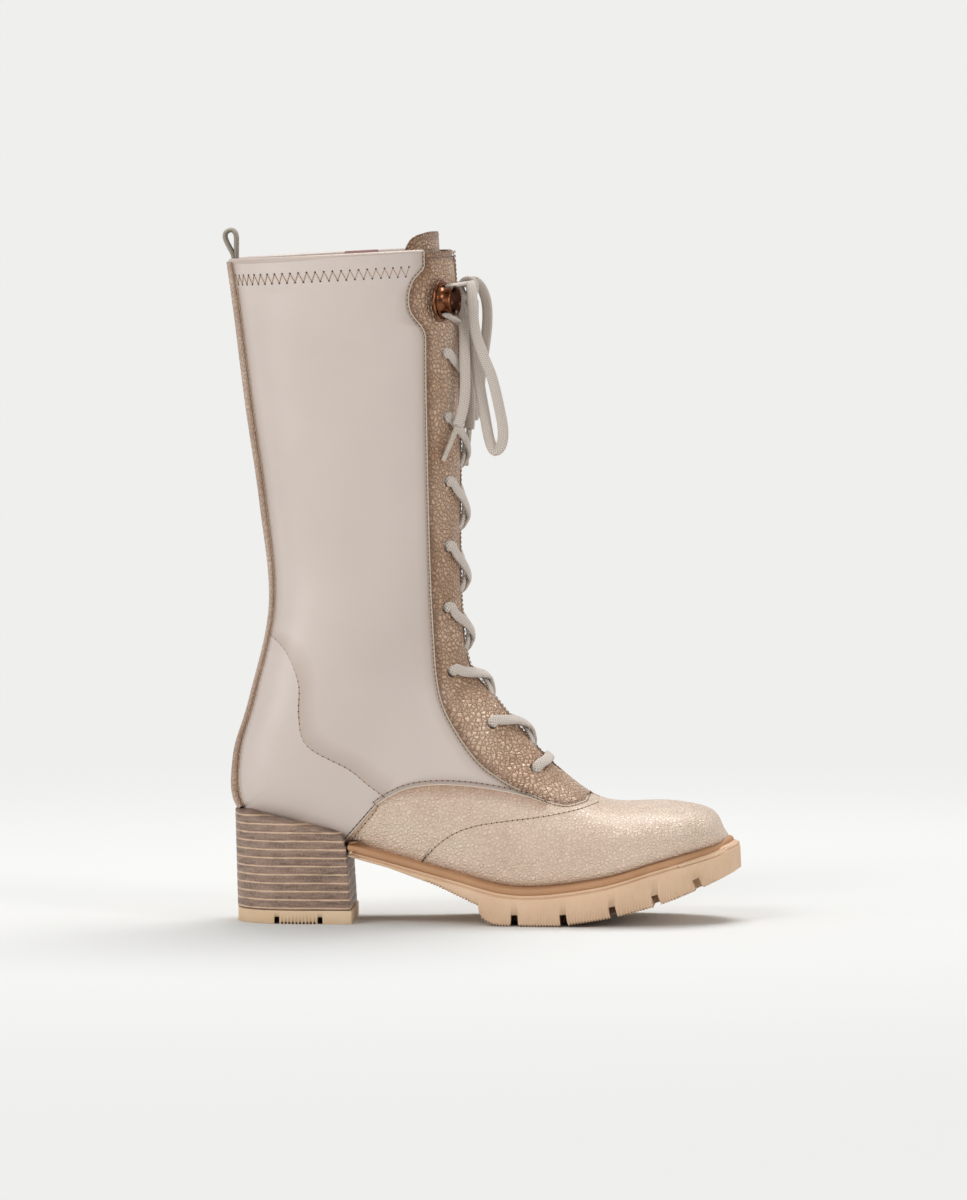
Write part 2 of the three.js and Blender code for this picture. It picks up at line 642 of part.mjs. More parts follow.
// ---------------------------------------------------------------- pull loop
// A flat loop seen from the side, round at both ends, that bends about the middle of its foot.
function ribbonLoop(thick, gap, tall, wide) {
  const outerHalf = gap / 2 + thick;
  const shape = new THREE.Shape();
  shape.absarc(0, tall, outerHalf, 0, Math.PI, false);
  shape.absarc(0, 0, outerHalf, Math.PI, 2 * Math.PI, false);
  const hole = new THREE.Path();
  hole.moveTo(-gap / 2, 0);
  hole.absarc(0, tall, gap / 2, Math.PI, 0, true);
  hole.lineTo(gap / 2, 0);
  shape.holes.push(hole);
  const geometry = new THREE.ExtrudeGeometry(shape, { depth: wide, bevelEnabled: false, curveSegments: 8 });
  return geometry.rotateX(Math.PI / 2).translate(0, wide / 2, 0);
}
const collarBack = onSkin(COLLAR, Math.PI, 0);
const loop = add("pull_loop", "lace", ribbonLoop(LOOP_THICK, LOOP_OPEN, LOOP_TALL, LOOP_WIDE));
loop.position.set(collarBack.x + 1, 0, collarBack.z + LOOP_OPEN / 2 + LOOP_THICK + 1);

// ---------------------------------------------------------------- side zip on the medial side
const zipRows = rowsBetween(ZIP_LOW_ROW + 0.06, COLLAR - 0.03, 0.4);
function zipTape(sign) {
  const rows = zipRows.map((row) => ({
    row,
    from: -zipAngle(row, sign * (COIL_HALF + 0.6)),
    to: -zipAngle(row, sign * (ZIP_HALF - 0.35)),
  }));
  return panel(rows, 1, -LEATHER + 0.1, -LEATHER + 0.8);
}
add("zip_tape_front", "tape", zipTape(-1));
add("zip_tape_rear", "tape", zipTape(1));

const zipFoot = onSkin(zipRows[0], -zipAngle(zipRows[0], 0), -0.3);
const zipHead = onSkin(zipRows[zipRows.length - 1], -zipAngle(zipRows[zipRows.length - 1], 0), -0.3);
const zipUp = zipHead.clone().sub(zipFoot).normalize();
const zipOut = normal(14, -zipAngle(14, 0));
zipOut.addScaledVector(zipUp, -zipOut.dot(zipUp)).normalize();
const zipFrontward = zipUp.clone().cross(zipOut).normalize();
const zipLength = zipHead.distanceTo(zipFoot);

// A frame whose Z runs up the zip and whose Y points out of the boot.
function zipFrame(distance) {
  const frame = new THREE.Matrix4().makeBasis(zipOut.clone().cross(zipUp).normalize(), zipOut, zipUp);
  return frame.setPosition(zipFoot.clone().addScaledVector(zipUp, distance));
}

function zipCoil(sign) {
  const wide = COIL_HALF - 0.15;
  const bar = new THREE.BoxGeometry(wide, 1.4, zipLength - 4);
  return bar.translate(sign * (0.15 + wide / 2), 0, (zipLength - 4) / 2 + 3).applyMatrix4(zipFrame(0));
}
add("zip_teeth_front", "copper", zipCoil(Math.sign(zipFrame(0).elements[0])));
add("zip_teeth_rear", "copper", zipCoil(-Math.sign(zipFrame(0).elements[0])));

const stop = new THREE.BoxGeometry(2 * COIL_HALF, 1.4, 1.2).translate(0, 0, 2).applyMatrix4(zipFrame(0));
add("zip_bottom_stop", "copper", stop);

const PULL_AXIS = 3.5; // the pull turns this far out from the zip
const PULL_EYE = PULL.thick + 0.6;
const SLIDER_AT = zipLength - SLIDER.long / 2 - 2;
function sliderBody() {
  const { long, wide, thick } = SLIDER;
  const shape = new THREE.Shape();
  shape.moveTo(-wide / 2 + 1.6, -long / 2);
  shape.lineTo(wide / 2 - 1.6, -long / 2);
  shape.quadraticCurveTo(wide / 2 - 1, 0, wide / 2, long / 2 - 1.5);
  shape.quadraticCurveTo(0, long / 2 + 1, -wide / 2, long / 2 - 1.5);
  shape.quadraticCurveTo(-wide / 2 + 1, 0, -wide / 2 + 1.6, -long / 2);
  const plate = new THREE.ExtrudeGeometry(shape, { depth: 1.2, bevelEnabled: false, curveSegments: 5 });
  plate.rotateX(Math.PI / 2).translate(0, 1.2 + 1.2, 0);
  const bridge = new THREE.BoxGeometry(2, thick, 5.4).translate(0, 2.2 + thick / 2, 0);
  const eye = new THREE.BoxGeometry(4, PULL_EYE, 3).translate(0, PULL_AXIS, 0);
  return cut(fromManifold(toManifold(plate).add(toManifold(bridge))), eye);
}
add("zip_slider", "copper", sliderBody().applyMatrix4(zipFrame(SLIDER_AT)));

function zipPull() {
  const { long, wide, thick } = PULL;
  const shape = new THREE.Shape();
  shape.moveTo(-wide / 2, -long + 3);
  shape.quadraticCurveTo(0, -long - 1.5, wide / 2, -long + 3);
  shape.lineTo(wide / 2 - 0.6, thick / 2);
  shape.lineTo(-wide / 2 + 0.6, thick / 2);
  const hole = new THREE.Path();
  hole.moveTo(-1.7, -4.4);
  hole.lineTo(-1.7, -thick / 2);
  hole.lineTo(1.7, -thick / 2);
  hole.lineTo(1.7, -4.4);
  shape.holes.push(hole);
  const low = new THREE.Path();
  low.absellipse(0, -long + 5, 1.3, 2.2, 0, 2 * Math.PI);
  shape.holes.push(low);
  const geometry = new THREE.ExtrudeGeometry(shape, { depth: thick, bevelEnabled: false, curveSegments: 6 });
  return geometry.rotateX(Math.PI / 2).translate(0, PULL_AXIS + thick / 2, 0);
}
add("zip_pull", "copper", zipPull().applyMatrix4(zipFrame(SLIDER_AT)));

// ---------------------------------------------------------------- hooks
const HOOK_ROW = 15.25;
const HOOK_OUT = 26;
const HOOK_SEAT = 1.3; // its flange is flat and the facing is curved
function hook(sign) {
  const half = new THREE.SplineCurve([
    [HOOK_NECK_R + 0.5, 1.8], [HOOK_NECK_R, 4.5], [HOOK_NECK_R + 0.2, 7], [HOOK_MOUTH_R, HOOK_LENGTH],
  ].map(([x, y]) => new THREE.Vector2(x, y))).getPoints(6);
  const bowl = [
    [HOOK_MOUTH_R - 1, HOOK_LENGTH], [HOOK_NECK_R - 1.2, 5], [0, 4],
  ].map(([x, y]) => new THREE.Vector2(x, y));
  const profile = [
    [0, 0], [HOOK_FLANGE_R - 1, 0], [HOOK_FLANGE_R, 0.6], [HOOK_FLANGE_R, 1.4], [HOOK_FLANGE_R - 1.4, 1.8],
  ].map(([x, y]) => new THREE.Vector2(x, y));
  const lathe = new THREE.LatheGeometry([...profile, ...half, ...bowl], 24);
  const angle = angleAcross(HOOK_ROW, HOOK_OUT) * sign;
  const place = onSkin(HOOK_ROW, angle, FACING_OUT + HOOK_SEAT);
  const out = normal(HOOK_ROW, angle).multiply(new THREE.Vector3(1.5, 1, 1)).normalize();
  return aimed(lathe, out).translate(place.x, place.y, place.z);
}
add("hook_lateral", "copper", hook(1));
add("hook_medial", "copper", hook(-1));

// ---------------------------------------------------------------- laces
function tube(points, radius, steps, sides = 8) {
  const curve = new THREE.CatmullRomCurve3(points, false, "centripetal");
  const ring = new THREE.Shape(Array.from({ length: sides }, (_, i) => {
    const turn = ((i + 0.5) / sides) * 2 * Math.PI;
    return new THREE.Vector2(radius * Math.cos(turn), radius * Math.sin(turn));
  }));
  return new THREE.ExtrudeGeometry(ring, { steps, extrudePath: curve, bevelEnabled: false });
}

const KNOT_OUT = 6.6; // the knot's middle lies this far in front of the boot
const KNOT = onSkin(HOOK_ROW, 0, KNOT_OUT).add(new THREE.Vector3(0, 0, 6));

function fromKnot(...points) {
  return points.map(([x, y, z]) => KNOT.clone().add(new THREE.Vector3(x, y, z)));
}

// Half of the held lace, from the lowest bar up to the hook.
function laceHalf(sign) {
  const points = [];
  let side = sign;
  EYELETS.forEach(({ row, angle }, i) => {
    const over = side > 0 ? 0 : 2 * LACE_R + 0.5;
    const lift = LACE_R + FACING_OUT + 0.5;
    const next = EYELETS[i + 1];
    points.push(onSkin(row - 0.02, (angle - 0.07) * side, lift));
    points.push(onSkin(row, angle * side, 0.2));
    points.push(onSkin(row + 0.03, (angle - 0.07) * side, LACE_UNDER));
    if (!next) return;
    const middle = mix(row, next.row, 0.5);
    points.push(onSkin(mix(row, next.row, 0.18), facingEdge(row) * 0.72 * side, LACE_UNDER * 0.8));
    points.push(onSkin(middle, 0, lift + over));
    points.push(onSkin(mix(row, next.row, 0.78), -facingEdge(row) * 1.35 * side, lift + over * 0.3));
    side = -side;
  });
  const last = EYELETS[EYELETS.length - 1];
  points.push(onSkin(mix(last.row, HOOK_ROW, 0.2), facingEdge(last.row) * 0.6 * side, LACE_UNDER * 0.7));
  points.push(onSkin(mix(last.row, HOOK_ROW, 0.5), facingEdge(last.row) * 0.4 * side, LACE_R + 3.2));
  points.push(...fromKnot([-3.4, -3.2 * side, -9.5], [-3.6, -2.4 * side, -6.2]));
  return points;
}
const bar = onSkin(EYELETS[0].row - 0.06, 0, LACE_R + FACING_OUT + 0.7);
const lacePath = [...laceHalf(1).reverse(), bar, ...laceHalf(-1)];
add("lace_run", "lace", tube(lacePath, LACE_R, 230, 6));

const knot = new THREE.SphereGeometry(5.2, 12, 8).scale(1, 1.25, 0.9);
add("bow_knot", "lace", knot.translate(...KNOT.toArray()));

// Routes of the two loops and the two ends, from the middle of the knot.
const LATERAL_LOOP = fromKnot(
  [0, -7.2, 1.2], [1.5, -12, 2.5], [2.5, -16, -2], [3, -19, -10], [4.6, -21.5, -22],
  [8.6, -23, -34], [13, -23.5, -45], [16.5, -24, -59], [18.8, -24, -72], [18, -23.4, -80],
  [14.6, -22.4, -83], [11.8, -21.4, -77.5], [9.2, -20, -64], [6.4, -18.4, -48], [4, -15.6, -30],
  [2.6, -11.6, -14], [2.2, -8.4, -6.5],
);
const MEDIAL_LOOP = fromKnot(
  [0.5, 7.2, 1.2], [3, 11.5, 3], [6.2, 15.5, -0.5], [8.4, 18.5, -7], [9, 20.5, -15],
  [8.4, 22, -24], [6.8, 23.4, -36], [5.2, 24, -48], [4, 24, -58], [2.6, 22.6, -65.5],
  [1.8, 19.4, -67.8], [1.6, 16.8, -62], [1.6, 15.6, -50], [1.8, 14.8, -36], [2, 13.4, -22],
  [2.2, 11, -12], [2.2, 8.4, -6.5],
);
const LATERAL_END = fromKnot(
  [-2.4, -5.6, -4.2], [-2.4, -9.4, -8.5], [-2, -13, -12.5], [-1.6, -16, -17.5], [-1.4, -18.2, -23],
  [-1.2, -20, -28.5], [-1, -21.4, -34], [-0.8, -22.6, -39.5], [-0.6, -23.6, -45], [-0.6, -24.4, -50],
  [-0.8, -25.1, -55], [-1.3, -25.7, -59.5], [-2.1, -26.2, -63.5], [-3.1, -26.7, -67.2], [-4.4, -27.2, -70.4],
);
const MEDIAL_END = fromKnot(
  [-2.4, 5.6, -4.2], [-2, 8, -8.5], [-0.9, 9.4, -13], [0, 10, -18], [0.4, 10.2, -23.5],
  [0.5, 10.4, -29], [0.5, 10.6, -34.5], [0.5, 10.8, -40], [0.5, 11, -45.5], [0.5, 11.2, -51],
  [0.5, 11.6, -56], [0.5, 12, -61], [0.4, 12.4, -65.5], [0.2, 12.8, -69.5], [-0.1, 13.2, -73],
);
add("bow_loop_lateral", "lace", tube(LATERAL_LOOP, LACE_R, 36));
add("bow_loop_medial", "lace", tube(MEDIAL_LOOP, LACE_R, 32));
add("lace_end_lateral", "lace", tube(LATERAL_END, LACE_R, 16));
add("lace_end_medial", "lace", tube(MEDIAL_END, LACE_R, 16));

const AGLET_LONG = 19;
function aglet(path) {
  const end = path[path.length - 1];
  const along = end.clone().sub(path[path.length - 2]).normalize();
  const tip = new THREE.CylinderGeometry(LACE_R, 1.2, AGLET_LONG, 10).rotateX(Math.PI);
  const middle = end.clone().addScaledVector(along, AGLET_LONG / 2 + 0.3);
  return aimed(tip, along).translate(middle.x, middle.y, middle.z);
}
add("aglet_lateral", "lace", aglet(LATERAL_END));
add("aglet_medial", "lace", aglet(MEDIAL_END));

// ---------------------------------------------------------------- origin at the middle of the base
const LOOSE = /^(bow_loop|lace_end|aglet)_/;
const box = new THREE.Box3();
group.children.filter((mesh) => !LOOSE.test(mesh.name)).forEach((mesh) => box.expandByObject(mesh, true));
const centre = box.getCenter(new THREE.Vector3());
group.position.set(-centre.x, -centre.y, -box.min.z);

export default group;
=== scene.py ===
"""Looks of a lace-up heeled boot, built around its CAD frame.

Lengths are millimetres in the design's own axes, until metres() turns them into the frame's.
"""
import math

import bmesh
import bpy
import numpy as np
from mathutils import Matrix, Vector


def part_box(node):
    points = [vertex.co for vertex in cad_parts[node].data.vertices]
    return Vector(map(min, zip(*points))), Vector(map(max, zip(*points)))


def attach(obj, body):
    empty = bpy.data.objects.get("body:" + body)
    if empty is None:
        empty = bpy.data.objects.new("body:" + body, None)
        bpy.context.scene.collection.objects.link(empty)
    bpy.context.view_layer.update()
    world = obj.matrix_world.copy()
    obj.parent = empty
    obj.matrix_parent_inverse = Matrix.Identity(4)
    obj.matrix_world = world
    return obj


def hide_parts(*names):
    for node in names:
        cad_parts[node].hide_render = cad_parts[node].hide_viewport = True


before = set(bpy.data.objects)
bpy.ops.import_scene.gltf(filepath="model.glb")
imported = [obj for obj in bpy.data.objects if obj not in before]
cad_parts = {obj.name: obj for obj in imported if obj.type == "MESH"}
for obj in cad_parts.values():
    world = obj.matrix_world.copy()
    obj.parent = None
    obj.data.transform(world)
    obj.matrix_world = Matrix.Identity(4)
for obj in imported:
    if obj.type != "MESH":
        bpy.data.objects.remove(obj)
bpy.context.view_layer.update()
MM = 0.001


# ---------------------------------------------------------------- where the design's own axes lie
def box_mm(node):
    low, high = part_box(node)
    return np.array(low) / MM, np.array(high) / MM


LIFT_LOW, LIFT_HIGH = box_mm("heel_top_lift")
TOE_X = 122.8  # toe of the last, in the design's own axes
SHIFT = np.array([box_mm("toe_vamp")[1][0] - TOE_X, (LIFT_LOW[1] + LIFT_HIGH[1]) / 2, 0.0])


def metres(points):
    return (np.asarray(points, dtype=float) + SHIFT) * MM


def link_object(name, data):
    made = bpy.data.objects.new(name, data)
    bpy.context.scene.collection.objects.link(made)
    return made


# ---------------------------------------------------------------- camera
CAMERA_AZIMUTH = math.radians(2.4)
CAMERA_HEIGHT_ANGLE = math.radians(3.0)
CAMERA_DISTANCE = 5.0
SENSOR = 24
FRAME_TALL = 0.618  # metres of the object's plane that the picture shows, from top to bottom
AIM = Vector((0.0026, -0.002, 0.165))


def make_camera():
    data = bpy.data.cameras.new("camera")
    data.sensor_fit = "VERTICAL"
    data.sensor_height = SENSOR
    data.lens = SENSOR * CAMERA_DISTANCE / FRAME_TALL
    data.clip_end = 50
    camera = link_object("camera", data)
    flat = math.cos(CAMERA_HEIGHT_ANGLE)
    away = Vector((
        math.sin(CAMERA_AZIMUTH) * flat, -math.cos(CAMERA_AZIMUTH) * flat, math.sin(CAMERA_HEIGHT_ANGLE)))
    camera.location = AIM + away * CAMERA_DISTANCE
    camera.rotation_euler = away.to_track_quat("Z", "Y").to_euler()
    bpy.context.scene.camera = camera


make_camera()

# ---------------------------------------------------------------- the last, as in the CAD source
# front x, front z, back x, back z, half width, widest place, front power, back power, sway
LAST = np.array([
    [122.8, 42.5, 122.8, 42.5, 0, 0.6, 2.2, 2.6, 5],
    [120.4, 46.5, 119, 40.2, 16, 0.6, 2.2, 3.4, 5],
    [113.6, 56.4, 104, 36.4, 33.5, 0.6, 2.2, 5, 4],
    [93, 60.8, 86, 31.6, 42.3, 0.6, 2.2, 6.5, 2.5],
    [59.5, 62, 56, 23.4, 45.2, 0.62, 2.1, 7, 0.5],
    [35.3, 78, 15.7, 19.2, 40.5, 0.64, 2, 7, -0.5],
    [16.2, 98, -20.3, 26.6, 35.2, 0.62, 2, 6.5, -0.5],
    [1, 117, -56.4, 36, 33.2, 0.58, 2, 5.5, 0],
    [-8.5, 128, -97.6, 47, 33, 0.54, 2.1, 3.6, 0],
    [-12.4, 140, -128.3, 57.4, 33.6, 0.5, 2.2, 2.4, 0],
    [-13.9, 153.7, -131.4, 83.6, 34.5, 0.5, 2.2, 2.2, 0],
    [-15.2, 171.2, -122.8, 114.5, 36.2, 0.5, 2.3, 2.2, 0],
    [-15.8, 201, -112.6, 162.4, 39.4, 0.5, 2.4, 2.2, 0],
    [-15.6, 234.5, -117.2, 213.9, 42.4, 0.5, 2.4, 2.2, 0],
    [-15.9, 273, -124.6, 265.4, 45.8, 0.5, 2.4, 2.2, 0],
    [-17, 310, -130.6, 313.3, 49.1, 0.5, 2.4, 2.2, 0],
    [-19, 345.3, -134.2, 339.1, 51.2, 0.5, 2.4, 2.2, 0],
    [-19.8, 357, -135, 347.5, 52, 0.5, 2.4, 2.2, 0],
])
COLLAR = 16
THROAT = 4.08
HEEL_ROW = 9
WING_END = 7.44
FX, FZ, BX, BZ, HALF, WIDEST, FRONT_POWER, BACK_POWER, SWAY = range(9)


def catmull(a, b, c, d, s):
    """The point of a Catmull-Rom curve at share s of the way from b to c."""
    return b + 0.5 * s * (c - a + s * (2 * a - 5 * b + 4 * c - d + s * (3 * (b - c) + d - a)))


def unit(v):
    return v / np.maximum(np.linalg.norm(v, axis=-1, keepdims=True), 1e-12)


def distances(points):
    """How far along a line each of its points lies."""
    return np.concatenate([[0], np.cumsum(np.linalg.norm(np.diff(points, axis=0), axis=1))])


def section(row):
    """All columns of LAST at any rows, as Catmull-Rom curves."""
    row = np.asarray(row, dtype=float)
    k = np.clip(np.floor(row).astype(int), 0, len(LAST) - 2)
    at = lambda i: LAST[np.clip(i, 0, len(LAST) - 1)]
    value = catmull(at(k - 1), at(k), at(k + 1), at(k + 2), (row - k)[..., None])
    value[..., HALF] = np.maximum(value[..., HALF], 0)
    return value


def mix(a, b, share):
    return a + (b - a) * share


def smooth(low, high, value):
    share = np.clip((value - low) / (high - low), 0, 1)
    return share * share * (3 - 2 * share)


def skin(row, angle):
    """The outer surface: angle 0 is the front line and pi the back line, and positive is lateral."""
    row, angle = np.broadcast_arrays(np.asarray(row, float), np.asarray(angle, float))
    s = section(row)
    cosine, sine = np.cos(angle), np.sin(angle)
    power = np.where(cosine > 0, s[..., FRONT_POWER], s[..., BACK_POWER])
    reach = np.abs(cosine) ** (2 / power)
    widest = s[..., WIDEST]
    along = np.where(cosine > 0, widest * (1 - reach), mix(widest, 1, reach))
    side = np.sign(sine) * np.abs(sine) ** (2 / power) * s[..., HALF]
    x, z = mix(s[..., FX], s[..., BX], along), mix(s[..., FZ], s[..., BZ], along)
    return np.stack([x, s[..., SWAY] - side, z], axis=-1)


def normal(row, angle):
    row, angle = np.broadcast_arrays(np.asarray(row, float), np.asarray(angle, float))
    e = 0.004
    rise = skin(np.minimum(row + e, len(LAST) - 1), angle) - skin(np.maximum(row - e, 0), angle)
    turn = skin(row, angle + e) - skin(row, angle - e)
    n = unit(np.cross(rise, turn))
    s = section(row)
    axis = np.stack([mix(s[..., FX], s[..., BX], s[..., WIDEST]), s[..., SWAY],
                     mix(s[..., FZ], s[..., BZ], s[..., WIDEST])], axis=-1)
    inward = np.sum(n * (skin(row, angle) - axis), axis=-1) < 0
    n = np.where(inward[..., None], -n, n)
    return np.where((row < 0.02)[..., None], np.array([1.0, 0, 0]), n)


def on_skin(row, angle, offset):
    return skin(row, angle) + normal(row, angle) * np.asarray(offset, float)[..., None]


def angle_along(s, along):
    along = np.clip(along, 0, 1)
    if along < s[WIDEST]:
        return math.acos(((s[WIDEST] - along) / s[WIDEST]) ** (s[FRONT_POWER] / 2))
    return math.acos(-(((along - s[WIDEST]) / (1 - s[WIDEST])) ** (s[BACK_POWER] / 2)))


def angle_across(row, distance, at_back=False):
    s = section(row)
    power = s[..., BACK_POWER] if at_back else s[..., FRONT_POWER]
    angle = np.arcsin(np.minimum(1, distance / np.maximum(s[..., HALF], distance)) ** (power / 2))
    return np.pi - angle if at_back else angle


def spline(points, count=240):
    """A smooth curve through 2-D or 3-D points."""
    p = np.array(points, float)
    padded = np.vstack([2 * p[0] - p[1], p, 2 * p[-1] - p[-2]])
    u = np.linspace(0, len(p) - 1, count)
    k = np.minimum(u.astype(int), len(p) - 2)
    return catmull(*(padded[k + i] for i in range(4)), (u - k)[:, None])


def seam_angle(points, row, move=0.0, missing=None):
    """The angle where a side-view seam crosses a section, moved along the section."""
    s = section(float(row))
    front, back = np.array([s[FX], s[FZ]]), np.array([s[BX], s[BZ]])
    d = back - front
    length = np.hypot(*d)
    side = d[0] * (points[:, 1] - front[1]) - d[1] * (points[:, 0] - front[0])
    for i in np.nonzero(side[:-1] * side[1:] <= 0)[0]:
        if side[i] == side[i + 1]:
            continue
        p = points[i] + (points[i + 1] - points[i]) * side[i] / (side[i] - side[i + 1])
        along = np.dot(p - front, d) / length**2 + move / length
        if -0.02 < along < 1.02:
            return angle_along(s, along)
    return missing


def seam_angles(points, rows, move=0.0, missing=None):
    return np.array([seam_angle(points, row, move, missing) for row in rows])


TOE_SEAM = spline([[61, 62.5], [46, 58.6], [28.6, 55.6], [-4.9, 51], [-22, 43.5], [-34.8, 31]])
FACING_SEAM = spline([
    [55, 62.5], [28.6, 66], [10.6, 71.5], [-5, 84], [-19.3, 104.6], [-25.5, 122],
    [-28, 150], [-29.5, 190], [-31.5, 295], [-38.5, 308], [-39.3, 321], [-34, 334], [-33.2, 350]])
WING_SEAM = spline([[31, 62], [15.7, 67], [-12, 71.5], [-35.8, 71], [-52.3, 64.5], [-66.7, 52], [-76, 37]])
COUNTER_SEAM = spline([
    [-56, 38], [-50.6, 52], [-51, 63.4], [-56.5, 68.4], [-61.5, 72.2], [-70.8, 79.7], [-92, 91.6],
    [-96.5, 107], [-96.6, 124], [-104, 141], [-118, 152]])
ZIP_LINE = np.array([[-62, -62], [-68.3, 358]])
STRAP_HALF = 14
THROAT_HALF = 5.5
COLLAR_HALF = 8
ZIP_HALF = 6


def feather(row):
    return mix(2.8, np.pi, smooth(HEEL_ROW - 1, HEEL_ROW + 0.3, row))


def facing_edge(row):
    return angle_across(row, mix(THROAT_HALF, COLLAR_HALF, smooth(THROAT, COLLAR, row)))


def strap_edge(row):
    return angle_across(row, mix(STRAP_HALF, STRAP_HALF + 7, smooth(10.5, 15, row)), True)


# ---------------------------------------------------------------- meshes
def new_object(name, vertices, faces, material):
    """A smooth-shaded mesh from points in metres."""
    mesh = bpy.data.meshes.new(name)
    mesh.from_pydata([tuple(v) for v in vertices], [], [tuple(map(int, f)) for f in faces])
    mesh.validate()
    mesh.update()
    piece = link_object(name, mesh)
    mesh.materials.append(material)
    mesh.polygons.foreach_set("use_smooth", [True] * len(mesh.polygons))
    return piece


def outward(piece):
    bm = bmesh.new()
    bm.from_mesh(piece.data)
    bmesh.ops.remove_doubles(bm, verts=bm.verts, dist=1e-6)
    bmesh.ops.recalc_face_normals(bm, faces=bm.faces)
    bm.to_mesh(piece.data)
    bm.free()
    return piece


def add_piece(name, points, faces, material, body="boot", closed=True):
    """A piece that rides on a body, from points in millimetres. closed turns its faces outwards."""
    piece = new_object(name, metres(points), faces, material)
    if closed:
        outward(piece)
    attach(piece, body)
    return piece


def ring_faces(rings, sides, base=0, caps=True):
    """Faces of a tube whose rings of vertices follow each other from base on."""
    faces = []
    for k in range(rings - 1):
        for j in range(sides):
            a, b = base + k * sides + j, base + k * sides + (j + 1) % sides
            faces.append([a, b, b + sides, a + sides])
    if caps:
        faces.append([base + j for j in range(sides)][::-1])
        faces.append([base + (rings - 1) * sides + j for j in range(sides)])
    return faces


def bevel(piece, width, segments=3, angle=40):
    modifier = piece.modifiers.new("bevel", "BEVEL")
    modifier.width = width * MM
    modifier.segments = segments
    modifier.limit_method = "ANGLE"
    modifier.angle_limit = math.radians(angle)
    modifier.harden_normals = True
    return piece


def set_edge_distance(piece, values):
    """Distance from the panel's rim in millimetres, for rims drawn darker; along the toe's feather edges by
    the sole roll that darkening is painted shade.
    """
    attribute = piece.data.attributes.new("rim", "FLOAT", "POINT")
    attribute.data.foreach_set("value", np.asarray(values, np.float32))


def sheet(name, rows, starts, stops, low, high, columns, material, sag=None, rims="abcd", rounded=0.35,
          warp=None):
    """A panel of leather between two angles on each row, from offset low to offset high.

    rims says which edges are drawn darker: a the first row, b the last, c the first angle, d the last.
    rounded is the bevel of its edges, sag moves its surface out, and warp moves its rows.
    """
    rows = np.asarray(rows, float)
    share = np.linspace(0, 1, columns + 1)
    angles = even_angles(rows, np.asarray(starts, float), np.asarray(stops, float), share)
    grid_row = np.repeat(rows[:, None], columns + 1, axis=1)
    if warp is not None:
        grid_row = warp(grid_row, share[None, :])
    lift = np.zeros_like(grid_row) if sag is None else sag(grid_row, angles)
    outer = on_skin(grid_row, angles, high + lift)
    inner = on_skin(grid_row, angles, low + lift * 0.5)
    count = outer.shape[0] * outer.shape[1]
    index = np.arange(count).reshape(outer.shape[:2])
    a, b, c, d = index[:-1, :-1], index[:-1, 1:], index[1:, 1:], index[1:, :-1]
    faces = [np.stack([a, b, c, d], -1).reshape(-1, 4), np.stack([a, d, c, b], -1).reshape(-1, 4) + count]
    border = np.concatenate([index[0, :-1], index[:-1, -1], index[-1, :0:-1], index[:0:-1, 0]])
    after = np.roll(border, -1)
    faces.append(np.stack([after, border, border + count, after + count], -1))
    vertices = metres(np.concatenate([outer.reshape(-1, 3), inner.reshape(-1, 3)]))
    piece = new_object(name, vertices, np.concatenate(faces), material)
    rim = rim_distance(outer, rims)
    set_edge_distance(piece, np.concatenate([rim.reshape(-1), rim.reshape(-1)]))
    outward(piece)
    if rounded:
        bevel(piece, rounded, 3)
    else:
        piece.data.set_sharp_from_angle(angle=math.radians(50))
    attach(piece, "boot")
    return piece


def even_angles(rows, starts, stops, share):
    """Angles spaced evenly as seen from the middle of each section."""
    s = section(rows)

    def polar(angle, invert):
        power = np.where(np.cos(angle) > 0, s[:, FRONT_POWER, None], s[:, BACK_POWER, None])
        exponent = power / 2 if invert else 2 / power
        quarter = np.floor(angle / (np.pi / 2) + 1e-12)
        rest = angle - quarter * (np.pi / 2)
        rising = quarter % 2 == 0
        acute = np.clip(np.where(rising, rest, np.pi / 2 - rest), 1e-9, np.pi / 2 - 1e-9)
        tangent = np.tan(acute) ** exponent
        within = np.where(rising, np.arctan(tangent), np.pi / 2 - np.arctan(tangent))
        return quarter * (np.pi / 2) + within

    first, last = polar(starts[:, None], False), polar(stops[:, None], False)
    return polar(mix(first, last, share[None, :]), True)


def rim_distance(points, rims="abcd"):
    """For a grid of points, the shortest way to its chosen borders along its own lines, in millimetres."""
    far = np.full(points.shape[:2], 60.0)
    for axis, (first, last) in enumerate((("a", "b"), ("c", "d"))):
        steps = np.linalg.norm(np.diff(points, axis=axis), axis=-1)
        start = np.zeros_like(np.take(steps, [0], axis=axis))
        run = np.concatenate([start, np.cumsum(steps, axis=axis)], axis=axis)
        total = np.take(run, [-1], axis=axis)
        if first in rims:
            far = np.minimum(far, run)
        if last in rims:
            far = np.minimum(far, total - run)
    return far


def sweep(path, normals, widths, thicks, sides=16, wave=None):
    """Vertices and faces of a flat-oval ribbon along a path; normals give its thin direction."""
    path = np.asarray(path, float)
    tangent = unit(np.gradient(path, axis=0))
    across = unit(np.cross(tangent, normals))
    up = np.cross(across, tangent)
    turn = np.linspace(0, 2 * np.pi, sides, endpoint=False)
    ring_x = np.sign(np.cos(turn)) * np.abs(np.cos(turn)) ** 0.8
    ring_y = np.sign(np.sin(turn)) * np.abs(np.sin(turn)) ** 0.8
    grow = np.ones((len(path), sides)) if wave is None else wave(path, turn)
    half = np.asarray(widths, float).reshape(-1, 1) / 2 * np.ones((len(path), 1))
    deep = np.asarray(thicks, float).reshape(-1, 1) / 2 * np.ones((len(path), 1))
    rings = (path[:, None, :] + across[:, None, :] * (ring_x[None, :] * half * grow)[..., None]
             + up[:, None, :] * (ring_y[None, :] * deep * grow)[..., None])
    return rings.reshape(-1, 3), ring_faces(len(path), sides)


